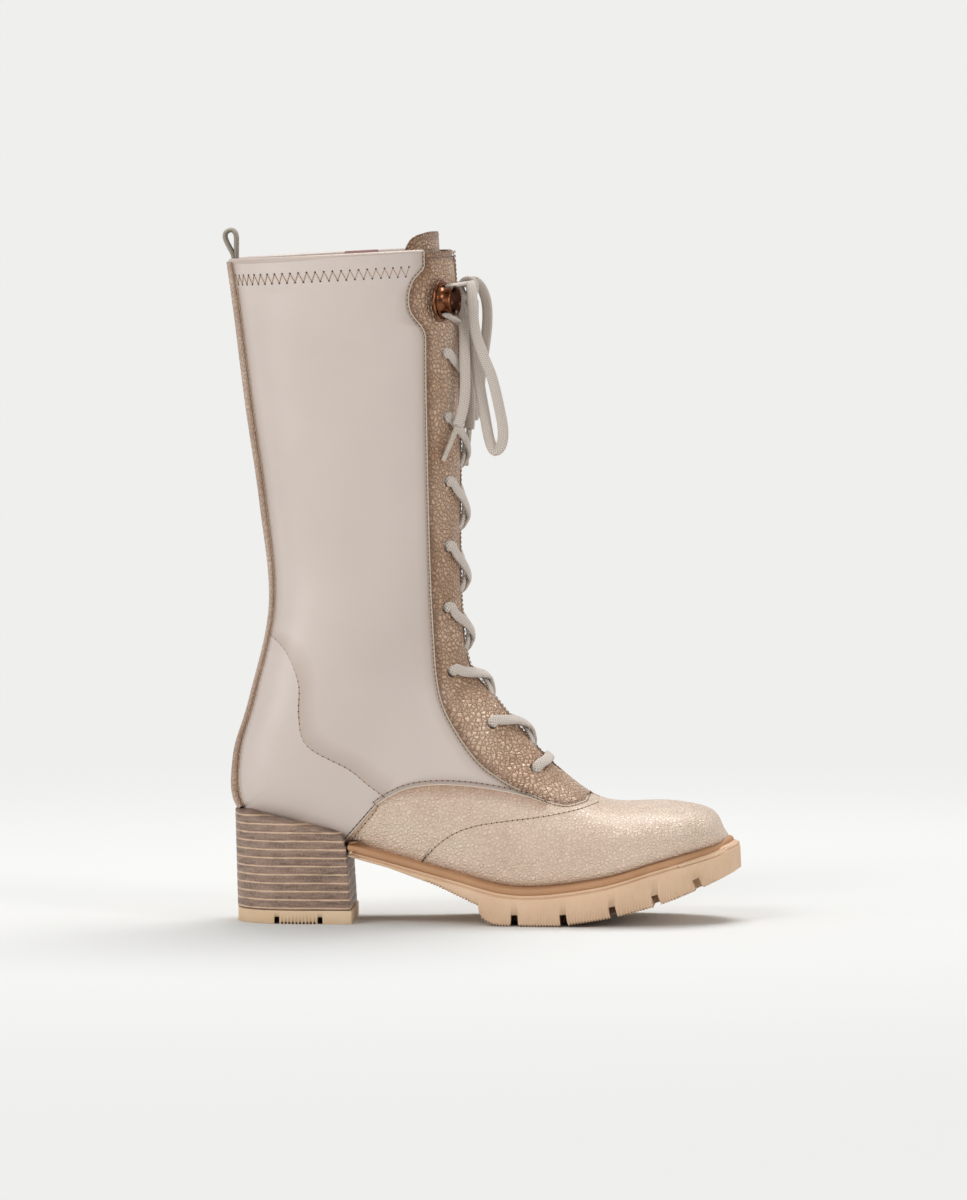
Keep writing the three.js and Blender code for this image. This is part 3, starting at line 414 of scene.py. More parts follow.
def resample(points, step):
    points = np.asarray(points, float)
    lengths = distances(points)
    count = max(2, int(round(lengths[-1] / step)) + 1)
    at = np.linspace(0, lengths[-1], count)
    return np.stack([np.interp(at, lengths, points[:, i]) for i in range(points.shape[1])], axis=1)


# ---------------------------------------------------------------- materials
class Nodes:
    """Short-hand for a material's node tree."""

    def __init__(self, name):
        self.material = bpy.data.materials.new(name)
        self.material.use_nodes = True
        self.tree = self.material.node_tree
        self.shader = self.tree.nodes["Principled BSDF"]
        self.place = self.add("ShaderNodeTexCoord").outputs["Object"]

    def add(self, kind, **settings):
        node = self.tree.nodes.new(kind)
        for key, value in settings.items():
            setattr(node, key, value)
        return node

    def wire(self, value, socket):
        if isinstance(value, bpy.types.NodeSocket):
            self.tree.links.new(value, socket)
        else:
            socket.default_value = value

    def math(self, operation, a, b=0.0):
        node = self.add("ShaderNodeMath", operation=operation)
        self.wire(a, node.inputs[0])
        self.wire(b, node.inputs[1])
        return node.outputs[0]

    def noise(self, scale, detail=3.0, rough=0.55, place=None):
        node = self.add("ShaderNodeTexNoise")
        self.wire(place or self.place, node.inputs["Vector"])
        node.inputs["Scale"].default_value = scale
        node.inputs["Detail"].default_value = detail
        node.inputs["Roughness"].default_value = rough
        return node.outputs["Fac"]

    def cells(self, scale, feature="F1", place=None):
        node = self.add("ShaderNodeTexVoronoi", feature=feature)
        self.wire(place or self.place, node.inputs["Vector"])
        node.inputs["Scale"].default_value = scale
        return node.outputs["Distance"]

    def ramp(self, value, low, high, first=0.0, last=1.0):
        node = self.add("ShaderNodeMapRange")
        node.inputs["From Min"].default_value = low
        node.inputs["From Max"].default_value = high
        node.inputs["To Min"].default_value = first
        node.inputs["To Max"].default_value = last
        self.wire(value, node.inputs["Value"])
        return node.outputs["Result"]

    def blend(self, share, a, b):
        node = self.add("ShaderNodeMix", data_type="RGBA")
        self.wire(share, node.inputs["Factor"])
        self.wire(a, node.inputs[6])
        self.wire(b, node.inputs[7])
        return node.outputs[2]

    def attribute(self, name):
        return self.add("ShaderNodeAttribute", attribute_name=name).outputs["Fac"]

    def bump(self, height, distance, strength=1.0, under=None):
        node = self.add("ShaderNodeBump")
        node.inputs["Strength"].default_value = strength
        node.inputs["Distance"].default_value = distance
        self.wire(height, node.inputs["Height"])
        if under is not None:
            self.wire(under, node.inputs["Normal"])
        return node.outputs["Normal"]

    def stretched(self, x, y, z):
        node = self.add("ShaderNodeMapping")
        self.wire(self.place, node.inputs["Vector"])
        node.inputs["Scale"].default_value = (x, y, z)
        return node.outputs["Vector"]

    def axis(self, letter):
        node = self.add("ShaderNodeSeparateXYZ")
        self.wire(self.place, node.inputs["Vector"])
        return node.outputs[letter]

    def finish(self, color, roughness, normal_map, **sockets):
        self.wire(color, self.shader.inputs["Base Color"])
        self.wire(roughness, self.shader.inputs["Roughness"])
        self.wire(normal_map, self.shader.inputs["Normal"])
        for key, value in sockets.items():
            self.shader.inputs[key.replace("_", " ")].default_value = value
        return self.material


def colour(hexa):
    """A linear colour from an sRGB hex string."""
    parts = [int(hexa[i:i + 2], 16) / 255 for i in (0, 2, 4)]
    return (*[c / 12.92 if c <= 0.04045 else ((c + 0.055) / 1.055) ** 2.4 for c in parts], 1.0)


def smooth_leather():
    n = Nodes("smooth_leather")
    cloud = n.ramp(n.noise(14, 3), 0.35, 0.7)
    tone = n.blend(cloud, colour("c9bcb4"), colour("c3b6ae"))
    # Colour drawn darker towards the chosen rims, over about 11 mm.
    darker_at_rims = n.blend(n.ramp(n.attribute("rim"), 0.4, 11.0, 0.45, 0.0), tone, colour("a08a78"))
    grain = n.bump(n.cells(2600), 0.00004, 0.5)
    folds = n.bump(n.noise(45, 2), 0.0006, 0.25, grain)
    rough = n.ramp(n.noise(300), 0, 1, 0.36, 0.46)
    return n.finish(darker_at_rims, rough, folds, Sheen_Weight=0.1, Specular_IOR_Level=0.5)


def pebble_leather(name, light, dark, edge, metal, rim_dark_width=6.0, depth=0.3, relief=1.0, coat=0.12, size=1.0):
    """Grained leather: domes with the creases between them drawn darker as painted shade, and rims drawn
    darker: burnish on the wing, facing, strap and tongue, painted shade along the toe's feather edges by the
    sole roll.
    """
    n = Nodes(name)
    wobble = n.add("ShaderNodeVectorMath", operation="ADD")
    n.wire(n.place, wobble.inputs[0])
    small = n.add("ShaderNodeTexNoise")
    n.wire(n.place, small.inputs["Vector"])
    small.inputs["Scale"].default_value = 350
    shrink = n.add("ShaderNodeVectorMath", operation="SCALE")
    n.wire(small.outputs["Color"], shrink.inputs[0])
    shrink.inputs["Scale"].default_value = 0.0012
    n.wire(shrink.outputs[0], wobble.inputs[1])
    pebbles = n.cells(620 / size, "DISTANCE_TO_EDGE", wobble.outputs[0])
    domes = n.ramp(pebbles, 0.0, 0.32)
    cloud = n.ramp(n.noise(28, 3), 0.3, 0.7)
    tone = n.blend(cloud, colour(light), colour(dark))
    # Painted shade: the creases between the domes are drawn darker, by depth, towards the edge colour.
    painted_crease_shade = n.blend(n.ramp(pebbles, 0.0, 0.09, depth, 0.0), tone, colour(edge))
    # Darker towards the chosen rims: burnish on the wing, facing, strap and tongue, and painted shade along
    # the toe's feather edges where they meet the sole roll.
    rim = n.math("ADD", n.attribute("rim"), n.ramp(n.noise(120), 0, 1, -0.8, 0.8))
    darker_at_rims = n.blend(n.ramp(rim, 0.2, rim_dark_width, 0.65, 0.0), painted_crease_shade, colour(edge))
    coarse = n.bump(domes, 0.0004 * relief, 1.0)
    fine = n.bump(n.noise(2500, 2), 0.00003, 0.4, coarse)
    rough = n.ramp(domes, 0, 1, 0.5, 0.3)
    return n.finish(darker_at_rims, rough, fine, Metallic=metal, Coat_Weight=coat, Coat_Roughness=0.32)


def thread(name, tint):
    n = Nodes(name)
    fuzz = n.noise(5200, 2)
    tone = n.blend(fuzz, colour(tint), (*[c * 0.7 for c in colour(tint)[:3]], 1.0))
    return n.finish(tone, 0.7, n.bump(fuzz, 0.00005, 0.4), Sheen_Weight=0.2)


def rubber(name, light, dark):
    n = Nodes(name)
    cloud = n.ramp(n.noise(35, 5), 0.35, 0.7)
    speck = n.ramp(n.noise(1400, 2), 0.6, 0.75, 0.0, 0.35)
    tone = n.blend(speck, n.blend(cloud, colour(light), colour(dark)), colour("a98660"))
    return n.finish(tone, n.ramp(n.noise(500), 0, 1, 0.6, 0.8), n.bump(n.noise(1800, 3), 0.00006, 0.5))


def stacked():
    n = Nodes("stacked_heel")
    wander = n.math("MULTIPLY", n.noise(60, 3), 0.0009)
    height = n.math("ADD", n.axis("Z"), wander)
    layer = n.math("FRACT", n.math("DIVIDE", height, STACK_PITCH * MM))
    thick = n.ramp(n.noise(150, 2), 0.3, 0.7, 0.36, 0.43)
    off = n.math("ABSOLUTE", n.math("SUBTRACT", layer, 0.5))
    line = n.ramp(n.math("SUBTRACT", off, thick), 0.0, 0.05)
    drift = n.noise(1.0, 4, 0.7, n.stretched(70, 70, 420))
    body = n.blend(n.ramp(drift, 0.35, 0.65), colour("977d6c"), colour("644f43"))
    slant = n.add("ShaderNodeMapping")
    n.wire(n.place, slant.inputs["Vector"])
    slant.inputs["Rotation"].default_value = (0, 0.6, 0)
    slant.inputs["Scale"].default_value = (2600, 1200, 900)
    speckle = n.ramp(n.noise(1.0, 2, 0.7, slant.outputs["Vector"]), 0.5, 0.66, 0.0, 0.6)
    tone = n.blend(line, n.blend(speckle, body, colour("b09684")), colour("c7a88c"))
    relief = n.bump(n.math("SUBTRACT", speckle, line), 0.00010, 0.5)
    return n.finish(tone, n.ramp(drift, 0, 1, 0.45, 0.6), relief)


def metal(name, light, dark):
    n = Nodes(name)
    cloud = n.ramp(n.noise(260, 4), 0.35, 0.7)
    tone = n.blend(cloud, colour(light), colour(dark))
    scratches = n.bump(n.noise(900, 2), 0.00002, 0.3)
    return n.finish(tone, n.ramp(n.noise(700), 0, 1, 0.18, 0.34), scratches, Metallic=1.0)


def woven(name, light, dark, pitch, sheen=0.25):
    """Plain weave: two sets of ribs."""
    n = Nodes(name)
    wave = lambda v: n.math("SINE", n.math("MULTIPLY", v, 2 * math.pi / (pitch * MM)))
    ribs = n.math("MULTIPLY", wave(n.math("ADD", n.axis("X"), n.axis("Y"))), wave(n.axis("Z")))
    high = n.ramp(ribs, -1, 1)
    fuzz = n.noise(2600, 3)
    tone = n.blend(n.math("MULTIPLY", high, fuzz), colour(dark), colour(light))
    relief = n.bump(n.math("ADD", high, fuzz), pitch * MM * 0.12, 0.7)
    return n.finish(tone, 0.85, relief, Sheen_Weight=sheen)


def braid(name, light, dark):
    """A flat braid, drawn in its own length and width, which its mesh carries as a map."""
    n = Nodes(name)
    uv = n.add("ShaderNodeUVMap", uv_map="lace").outputs[0]
    split = n.add("ShaderNodeSeparateXYZ")
    n.wire(uv, split.inputs[0])
    length = n.math("MULTIPLY", split.outputs["X"], 2 * math.pi / BRAID_PITCH)
    across = n.math("MULTIPLY", split.outputs["Y"], 18.8)
    up = n.math("SINE", n.math("ADD", length, across))
    down = n.math("SINE", n.math("SUBTRACT", length, across))
    strands = n.ramp(n.math("MAXIMUM", up, down), -0.4, 1)
    fuzz = n.noise(3000, 3)
    tone = n.blend(n.math("MULTIPLY", strands, n.ramp(fuzz, 0.2, 0.7, 0.55, 1)), colour(dark), colour(light))
    relief = n.bump(n.math("ADD", strands, n.math("MULTIPLY", fuzz, 0.4)), 0.00022, 0.7)
    return n.finish(tone, 0.85, relief, Sheen_Weight=0.3)


STACK_PITCH = 4.3  # thickness of one layer of the heel
BRAID_PITCH = 1.25
# Dark colour of the needle holes: painted shade.
NEEDLE_HOLE_SHADE = thread("needle_hole_shade", "43342b")
LEATHER = smooth_leather()
# The third colour of each leather colours its creases, drawn darker as painted shade, and its darker rims.
PEBBLE = pebble_leather("pebble_leather", "e3cdb9", "d8bfa9", "96694a", 0.0, 8.0, 0.3, 1.3, 0.35, 1.15)
BRONZE = pebble_leather("bronze_leather", "e2c3a8", "b8906f", "6e472e", 0.12, 5.0, 0.8, 3.0, 0.2, 1.5)
THREAD_PALE = thread("thread_pale", "cdbfae")
THREAD_TAN = thread("thread_tan", "a98a6c")
THREAD_DARK = thread("thread_dark", "7b6553")
# Pale bead colour; along the wing's edge it is a painted highlight.
EDGE_PALE = thread("edge_pale", "e3d3bf")
PIPING = thread("piping", "c9b49d")
SOLE = rubber("sole_rubber", "dcbc9e", "d0ae8e")
SOLE_ROLL = rubber("sole_roll", "bb8f6a", "ab7f5b")
LIFT_RUBBER = rubber("lift_rubber", "d6bb9b", "cbad8a")
HEEL = stacked()
COPPER = metal("copper", "94603f", "5b3828")
# A darker copper for the inside of the hooks' mouths: painted shade.
COPPER_MOUTH_SHADE = metal("copper_mouth_shade", "4a2e22", "2c1a13")
LINING = woven("lining_fabric", "c9a5a0", "a98480", 0.9)
TAPE = woven("zip_tape", "a58c7d", "7d675a", 0.8)
WEBBING = woven("webbing", "b3ab9b", "8d8576", 1.1)
LACE = braid("lace_cotton", "d8cdc3", "a99c90")
BOARD = woven("fibre_board", "b08f66", "8b6e4c", 2.5, 0.0)


def dress(node, material, rounded=0.0):
    """A CAD node that stays gets its own material, and softer edges."""
    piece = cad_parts[node]
    piece.data.materials.clear()
    piece.data.materials.append(material)
    if rounded:
        bevel(piece, rounded, 3, 35)
    return piece


# ---------------------------------------------------------------- stitches
SINK = 0.1  # how deep a stitch lies in the leather
STITCH_PROFILE = [(-0.5, 0.35), (-0.42, 0.85), (-0.2, 1.0), (0.2, 1.0), (0.42, 0.85), (0.5, 0.35)]
ZIGZAG_PROFILE = [(-0.48, 0.5), (-0.38, 1), (0, 1.15), (0.38, 1), (0.48, 0.5)]


def threads(name, points, normals, material, radius, profile, height, length=None):
    """A short rounded thread from each point to the next, whose middle line lies at height(share)."""
    vertices, faces = [], []
    turns = np.linspace(0, 2 * math.pi, 6, endpoint=False)
    for a, b, up in zip(points[:-1], points[1:], unit(normals)):
        span = max(np.linalg.norm(b - a), 1e-9)
        along = (b - a) / span
        side = np.cross(up, along)
        faces += ring_faces(len(profile), len(turns), len(vertices))
        for share, wide in profile:
            centre = (a + b) / 2 + along * share * (length or span) + up * height(share)
            vertices += [centre + (side * math.cos(t) + up * math.sin(t)) * radius * wide for t in turns]
    return add_piece(name, vertices, faces, material, closed=False)


def stitches(name, points, normals, material=THREAD_PALE, pitch=2.6, length=1.9, radius=0.32):
    """One run of stitches: short rounded threads laid along a line."""
    line = resample(np.hstack([points, normals]), pitch)
    droop = lambda share: radius * (0.6 - 0.9 * abs(share)) - SINK
    threads(name, line[:, :3], line[:, 3:], material, radius, STITCH_PROFILE, droop, length)


def edge_line(rows, angles, offset, inward=0.0):
    """A line on the surface beside an edge, a distance to its side; inward may be negative."""
    rows, angles = np.asarray(rows, float), np.asarray(angles, float)
    points = on_skin(rows, angles, offset + np.zeros(len(rows)))
    normals = normal(rows, angles)
    return points + np.cross(normals, unit(np.gradient(points, axis=0))) * inward, normals


def needle_holes(name, points, normals, pitch, radius):
    """Dark marks between stitches where a needle went through: painted shade for the holes."""
    line = resample(np.hstack([points, normals]), pitch)
    pricks(name, line[:, :3], line[:, 3:], radius)


def seam(name, line, material=THREAD_PALE, pitch=2.6, length=1.9, radius=0.32, hole=None):
    """A row of stitches, with the needle's holes between them where hole gives their radius."""
    stitches(f"stitch_{name}", *line, material, pitch, length, radius)
    if hole:
        needle_holes(f"holes_{name}", *line, pitch, hole)


def pricks(name, points, normals, radius):
    """Low round pits at given points, coloured dark as painted shade for needle holes."""
    vertices, faces = [], []
    turns = np.linspace(0, 2 * math.pi, 8, endpoint=False)
    for point, up in zip(points, unit(normals)):
        side = unit(np.cross(up, [0.3, 0.2, 0.93]))
        other = np.cross(up, side)
        faces += ring_faces(3, len(turns), len(vertices))
        for share, height in ((1.0, -0.3), (0.95, 0.1), (0.6, 0.16)):
            centre = point + up * height
            vertices += [centre + (side * math.cos(t) + other * math.sin(t)) * radius * share for t in turns]
    add_piece(name, vertices, faces, NEEDLE_HOLE_SHADE, closed=False)


def cordlet(name, line, radius, material):
    """A thin round bead along a line: piping, or the pale raw edge of a leather. On the wing's lapped edge
    that pale colour is a painted highlight.
    """
    line = resample(np.hstack(line), 1.6)
    add_piece(name, *sweep(line[:, :3], line[:, 3:], 2 * radius, 2 * radius, 8), material)


# ---------------------------------------------------------------- upper
OVER = 0.95  # how far an overlapping piece stands above the one below
UNDER = -1.3
BUTT = 0.04  # half of the groove between two pieces that meet edge to edge
SIDES = (("lateral", 1), ("medial", -1))
SHAFT_FOOT = 4.9  # lowest row of the shaft panels
VAMP_END = 6.42
ZIP_SEAM = ZIP_HALF + 1.6  # from the zip's middle to the stitches beside it


def rows_from(low, high, step=0.07):
    return np.linspace(low, high, max(3, int(round((high - low) / step)) + 1))


def soft_folds(row, angle):
    """Slight waves in the stretch leather, most of them at the ankle."""
    p = skin(row, angle)
    ankle = np.exp(-((p[..., 2] - 120) / 45) ** 2)
    x, z = p[..., 0], p[..., 2]
    wave = np.sin(z * 0.16 + x * 0.07) + 0.6 * np.sin(z * 0.09 - x * 0.11 + 1.3)
    return 0.35 * ankle * wave + 0.18 * np.sin(z * 0.05 + x * 0.05)


def hem(row, angle):
    """The fold at the collar is two layers thick."""
    return soft_folds(row, angle) * 0.6 + 0.45 * smooth(COLLAR - 0.62, COLLAR - 0.55, row)


def shaft_limits(row):
    start = seam_angle(FACING_SEAM, row, -2.5, 0.3)
    if row < WING_END + 0.02:
        stop = seam_angle(WING_SEAM, row, 3.0, 0.0)
    else:
        counter_edge = seam_angle(COUNTER_SEAM, row, -BUTT)
        strap = strap_edge(row) + 0.03 if row > HEEL_ROW else feather(row)
        stop = strap if counter_edge is None else min(counter_edge, strap)
    return start, max(stop, start + 0.02)


def shaft_borders(rows):
    return np.array([shaft_limits(row) for row in rows]).T


def shaft_lateral():
    rows = rows_from(SHAFT_FOOT, COLLAR)
    starts, stops = shaft_borders(rows)
    piece = sheet("shaft_outer_panel", rows, starts, stops, UNDER, 0, 70, LEATHER, sag=hem, rims="cd")
    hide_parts("shaft_lateral")


def zip_angle(row, move):
    return seam_angle(ZIP_LINE, row, move)


def zip_angles(rows, move):
    return seam_angles(ZIP_LINE, rows, move)


ZIP_FOOT_Z = box_mm("zip_teeth_front")[0][2] - 2


def zip_low_row():
    rows = np.arange(HEEL_ROW, COLLAR, 0.01)
    heights = [skin(row, -zip_angle(row, 0))[2] for row in rows]
    return float(rows[int(np.argmin(np.abs(np.array(heights) - ZIP_FOOT_Z)))])


ZIP_LOW = zip_low_row()


def shaft_medial():
    """Front and rear parts beside the zip, and the whole panel under it."""
    low = rows_from(SHAFT_FOOT, ZIP_LOW)
    starts, stops = shaft_borders(low)
    below = sheet("shaft_inner_below_zip", low, -starts, -stops, UNDER, 0, 70, LEATHER, sag=hem, rounded=0,
                  rims="cd")
    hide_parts("shaft_medial")
    high = rows_from(ZIP_LOW, COLLAR)
    starts, stops = shaft_borders(high)
    for name, start, stop, columns, rim in (
            ("front", -starts, -zip_angles(high, -ZIP_HALF), 34, "c"),
            ("rear", -zip_angles(high, ZIP_HALF), -stops, 40, "d")):
        sheet(f"shaft_inner_{name}", high, start, stop, UNDER, 0, columns, LEATHER, sag=hem, rounded=0,
              rims=rim)
    for name, move in (("front", -ZIP_SEAM), ("rear", ZIP_SEAM)):
        seam(f"zip_{name}", edge_line(high, -zip_angles(high, move), 0.12))
    foot = ZIP_LOW - 0.06
    across = np.linspace(-ZIP_SEAM, ZIP_SEAM, 9)
    seam("zip_foot", edge_line(np.full(9, foot), [-zip_angle(foot, move) for move in across], 0.12))


def counter(side, sign):
    """The heel counter, sewn edge to edge with the shaft."""
    def ends(row):
        edge = seam_angle(COUNTER_SEAM, row)
        return edge is None or edge > strap_edge(row) - 0.01

    rows = rows_from(WING_END - 0.1, next(row for row in np.arange(10, 13, 0.01) if ends(row)))
    starts = seam_angles(COUNTER_SEAM, rows, BUTT, 2.2)
    stops = [min(feather(row), strap_edge(row) + 0.03) if row > HEEL_ROW else feather(row) for row in rows]
    stops = np.maximum(stops, starts + 0.02)
    piece = sheet(f"heel_counter_{side}", rows, starts * sign, stops * sign, UNDER, 0.02, 40, LEATHER,
                  rounded=0.3, rims="")
    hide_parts(f"counter_{side}")
    seam(f"counter_{side}", edge_line(rows, starts * sign, 0.0), THREAD_TAN, 3.1, 2.2, 0.2, hole=0.45)


def wing(side, sign):
    """The wing over the instep: it laps over the shaft and meets the toe edge to edge."""
    rows = rows_from(THROAT + 0.02, WING_END, 0.03)
    starts, stops = [], []
    for row in rows:
        upper = max(seam_angle(FACING_SEAM, row, -2, 0.0), seam_angle(WING_SEAM, row, 0, 0.0))
        lower = seam_angle(TOE_SEAM, row, -BUTT, None)
        starts.append(upper)
        stops.append(max(feather(row) if lower is None else lower, upper + 0.012))
    starts, stops = np.array(starts), np.array(stops)
    piece = sheet(f"wing_cap_{side}", rows, starts * sign, stops * sign, -0.2, OVER, 34, PEBBLE, rims="cb")
    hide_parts(f"wing_{side}")
    upper = rows > 4.93
    rear = np.linspace(starts[-1], stops[-1], 40) * sign

    def along_edge(offset, inward, back):
        """A line beside the wing's upper edge and on down its rear edge."""
        over, over_up = edge_line(rows[upper], starts[upper] * sign, offset, inward * sign)
        down, down_up = edge_line(np.full(40, WING_END + back), rear, offset, 0)
        keep = np.linalg.norm(down - over[-1], axis=1) > abs(inward)
        return np.vstack([over, down[keep]]), np.vstack([over_up, down_up[keep]])

    seam(f"wing_outer_{side}", along_edge(0.05, 0.75, 0.02), THREAD_DARK, 2.9, 2.2, 0.24, hole=0.42)
    seam(f"wing_inner_{side}", along_edge(OVER, -2.1, -0.055), THREAD_TAN, 2.9, 2.2, 0.22, hole=0.42)
    # The pale bead on the wing's lapped edge is coloured as a painted highlight along its raw edge.
    cordlet(f"wing_edge_{side}", along_edge(OVER - 0.2, 0, 0), 0.28, EDGE_PALE)
    below = np.array([seam_angle(TOE_SEAM, row) is not None for row in rows])
    line = edge_line(rows[below], stops[below] * sign, OVER, -BUTT * sign)
    seam(f"toe_{side}", line, THREAD_TAN, 2.7, 1.8, 0.2, hole=0.42)


def toe_vamp():
    """The toe, and the vamp's sides that run back under the wings to the waist."""
    tip = [0.012, 0.05, 0.1, 0.16, 0.23, 0.31, 0.4, 0.5]
    rows = np.concatenate([tip, rows_from(0.6, THROAT + 0.1, 0.05)])
    full = feather(rows)
    # Its darker feather edges (rims c and d) are painted shade where the toe meets the sole roll.
    piece = sheet("toe_vamp_cap", rows, -full, full, UNDER, OVER - 0.05, 110, PEBBLE, rounded=0, rims="cd")
    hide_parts("toe_vamp")
    rows = rows_from(THROAT + 0.1, VAMP_END, 0.04)
    starts = seam_angles(TOE_SEAM, rows, BUTT, 0.0)
    stops = np.maximum(feather(rows), starts + 0.02)
    for side, sign in SIDES:
        # Its darker feather edge (rim d) is painted shade where the vamp meets the sole roll.
        sheet(f"vamp_side_{side}", rows, starts * sign, stops * sign, UNDER, OVER - 0.05, 55, PEBBLE,
              rims="d", rounded=0)


def back_strap():
    rows = rows_from(HEEL_ROW + 0.02, COLLAR)
    edge = strap_edge(rows)
    piece = sheet("back_strap_piece", rows, edge, 2 * np.pi - edge, -0.3, OVER + 0.2, 20, BRONZE, rims="cd")
    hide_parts("back_strap")
    for side, angles, sign in (("lateral", edge, 1), ("medial", 2 * np.pi - edge, -1)):
        seam(f"back_{side}", edge_line(rows, angles, OVER + 0.2, -1.7 * sign), THREAD_TAN)
        cordlet(f"back_piping_{side}", edge_line(rows, angles, 0.25, 0.3 * sign), 0.5, PIPING)
        seam(f"back_outer_{side}", edge_line(rows, angles, 0.02, 1.5 * sign), THREAD_DARK, 2.4, 1.5, 0.22)


EYELET_SHARE = 0.56
EYELET_R = 2.9
EYELET_HEIGHTS = [79, 102, 129, 162, 194, 227, 260, 293]
HOOK_ROW = 15.25
HOOK_OUT = 30


def eyelet(height):
    rows = np.arange(THROAT, COLLAR, 0.01)
    angles = angle_across(rows, EYELET_SHARE * section(rows)[:, HALF])
    best = int(np.argmin(np.abs(skin(rows, angles)[:, 2] - height)))
    return float(rows[best]), float(angles[best])


EYELETS = [eyelet(height) for height in EYELET_HEIGHTS]
FACING_OUT = OVER + 0.15
THROAT_CLOSED = 4.92  # row up to which the two facings are one piece, in front of the lowest eyelets


def facing_front(row):
    """The facing's front edge: it runs to the centre line at the throat, with a round end."""
    return float(facing_edge(row)) * math.sqrt(max(0.0, min(1.0, (row - THROAT_CLOSED) / 0.16)))


TIP = [[50.6, 65.4], [51, 63.9], [47.5, 62.3], [40, 61.2], [31, 63.4], [22, 67.2]]  # round end of the facing
FACING_EDGE = spline(TIP + [
    [10.6, 72.5], [-5, 84], [-19.3, 104.6], [-25.5, 122], [-28, 150], [-29.5, 190], [-31, 270], [-31.2, 296],
    [-31.5, 303], [-33.8, 307.7], [-37, 311.8], [-39.1, 316], [-39.4, 323], [-37.6, 329.5], [-34.6, 333.4],
    [-32.2, 336.5], [-32, 341.3], [-32.4, 352]], 520)


def cut_away(piece, cutters):
    for cutter in cutters:
        modifier = piece.modifiers.new("cut", "BOOLEAN")
        modifier.operation = "DIFFERENCE"
        modifier.solver = "EXACT"
        modifier.object = cutter
    bpy.context.view_layer.update()
    whole = bpy.data.meshes.new_from_object(piece.evaluated_get(bpy.context.evaluated_depsgraph_get()))
    piece.modifiers.clear()
    piece.data = whole
    for cutter in cutters:
        bpy.data.objects.remove(cutter)


def eyelet_cutter(sign):
    """Round punches through one facing, as one mesh."""
    holes = bmesh.new()
    for row, angle in EYELETS:
        at = metres(on_skin(row, angle * sign, FACING_OUT))
        out = Vector(normal(row, angle * sign))
        turn = Vector((0, 0, 1)).rotation_difference(out).to_matrix().to_4x4()
        bmesh.ops.create_cone(
            holes, cap_ends=True, segments=24, radius1=EYELET_R * MM, radius2=EYELET_R * MM, depth=9 * MM,
            matrix=Matrix.Translation(at) @ turn)
    mesh = bpy.data.meshes.new("holes")
    holes.to_mesh(mesh)
    holes.free()
    return link_object("holes", mesh)


def facing(side, sign):
    """The eyelet facing, with punched eyelets, a light raw edge and rows of stitches."""
    first = next(row for row in np.arange(THROAT, 5, 0.004) if seam_angle(FACING_EDGE, row) is not None)
    rows = [rows_from(first, 5.2, 0.02), rows_from(5.25, 14.3, 0.05), rows_from(14.32, COLLAR, 0.02)]
    rows = np.concatenate(rows)
    stops = seam_angles(FACING_EDGE, rows, 0, 0.02)
    starts = np.array([min(facing_front(row), stop - 0.02) for row, stop in zip(rows, stops)])

    def round_corner(row, share):
        near = np.clip(1 - share / 0.55, 0, 1) ** 3 * 0.32
        return np.where(row > COLLAR - 0.5, row - near * (row - COLLAR + 0.5) / 0.5, row)

    piece = sheet(f"lace_facing_{side}", rows, starts * sign, stops * sign, -1.2, FACING_OUT, 34, BRONZE,
                  rounded=0, rims="bd", warp=round_corner)
    cut_away(piece, [eyelet_cutter(sign)])
    bevel(piece, 0.3, 2)
    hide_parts(f"facing_{side}")
    cordlet(f"facing_edge_{side}", edge_line(rows, stops * sign, 0.35, 0.1 * sign), 0.45, EDGE_PALE)
    outside, normals = edge_line(rows, stops * sign, 0.05, -1.25 * sign)
    lower = rows < 4.9
    outside[lower] += normals[lower] * OVER
    seam(f"facing_outer_{side}", (outside, normals), THREAD_DARK, 2.3, 1.7, 0.27)
    inside = edge_line(rows, stops * sign, FACING_OUT, 1.3 * sign)
    seam(f"facing_inner_{side}", inside, THREAD_TAN, 2.3, 1.6, 0.24)
    needle_holes(f"holes_facing_{side}", *inside, 2.3, 0.34)
    front = rows > THROAT_CLOSED + 0.2
    line = edge_line(rows[front], starts[front] * sign, FACING_OUT, -1.6 * sign)
    seam(f"facing_front_{side}", line, THREAD_TAN, 2.3, 1.6, 0.24)
    angles = np.linspace(starts[-1], stops[-1], 30) * sign
    line = edge_line(np.full(30, COLLAR - 0.12), angles, FACING_OUT)
    seam(f"facing_top_{side}", line, THREAD_DARK, 2.3, 1.6, 0.24, hole=0.34)


def row_below_collar(angle, depth):
    """The row that lies a given number of millimetres under the collar's edge."""
    rows = np.linspace(COLLAR, COLLAR - 1.2, 60)
    return float(np.interp(depth, distances(on_skin(rows, np.full(60, angle), 0.0)), rows))


ZIGZAG_STEP = 2.15  # along the collar, from one point of the zigzag to the next
ZIGZAG_DEPTH = 9.4  # of its middle below the collar's edge
ZIGZAG_HALF = 2.4


def zigzag(name, start, stop):
    """The zigzag stitch that holds the collar's hem, with a prick at each of its points."""
    across = on_skin(np.full(400, COLLAR - 0.3), np.linspace(start, stop, 400), 0.5)
    count = int(distances(across)[-1] / ZIGZAG_STEP)
    walk = resample(np.column_stack([across, np.linspace(start, stop, 400)]), 0.25)[:, 3]
    angles = np.interp(np.linspace(0, 1, count), np.linspace(0, 1, len(walk)), walk)
    depths = [ZIGZAG_DEPTH + (ZIGZAG_HALF if i % 2 else -ZIGZAG_HALF) for i in range(count)]
    rows = np.array([row_below_collar(angle, depth) for angle, depth in zip(angles, depths)])
    points, normals = on_skin(rows, angles, 0.5), normal(rows, angles)
    threads(name, points, normals, THREAD_TAN, 0.2, ZIGZAG_PROFILE, lambda share: 0.0)
    pricks(f"{name}_holes", points, normals, 0.52)


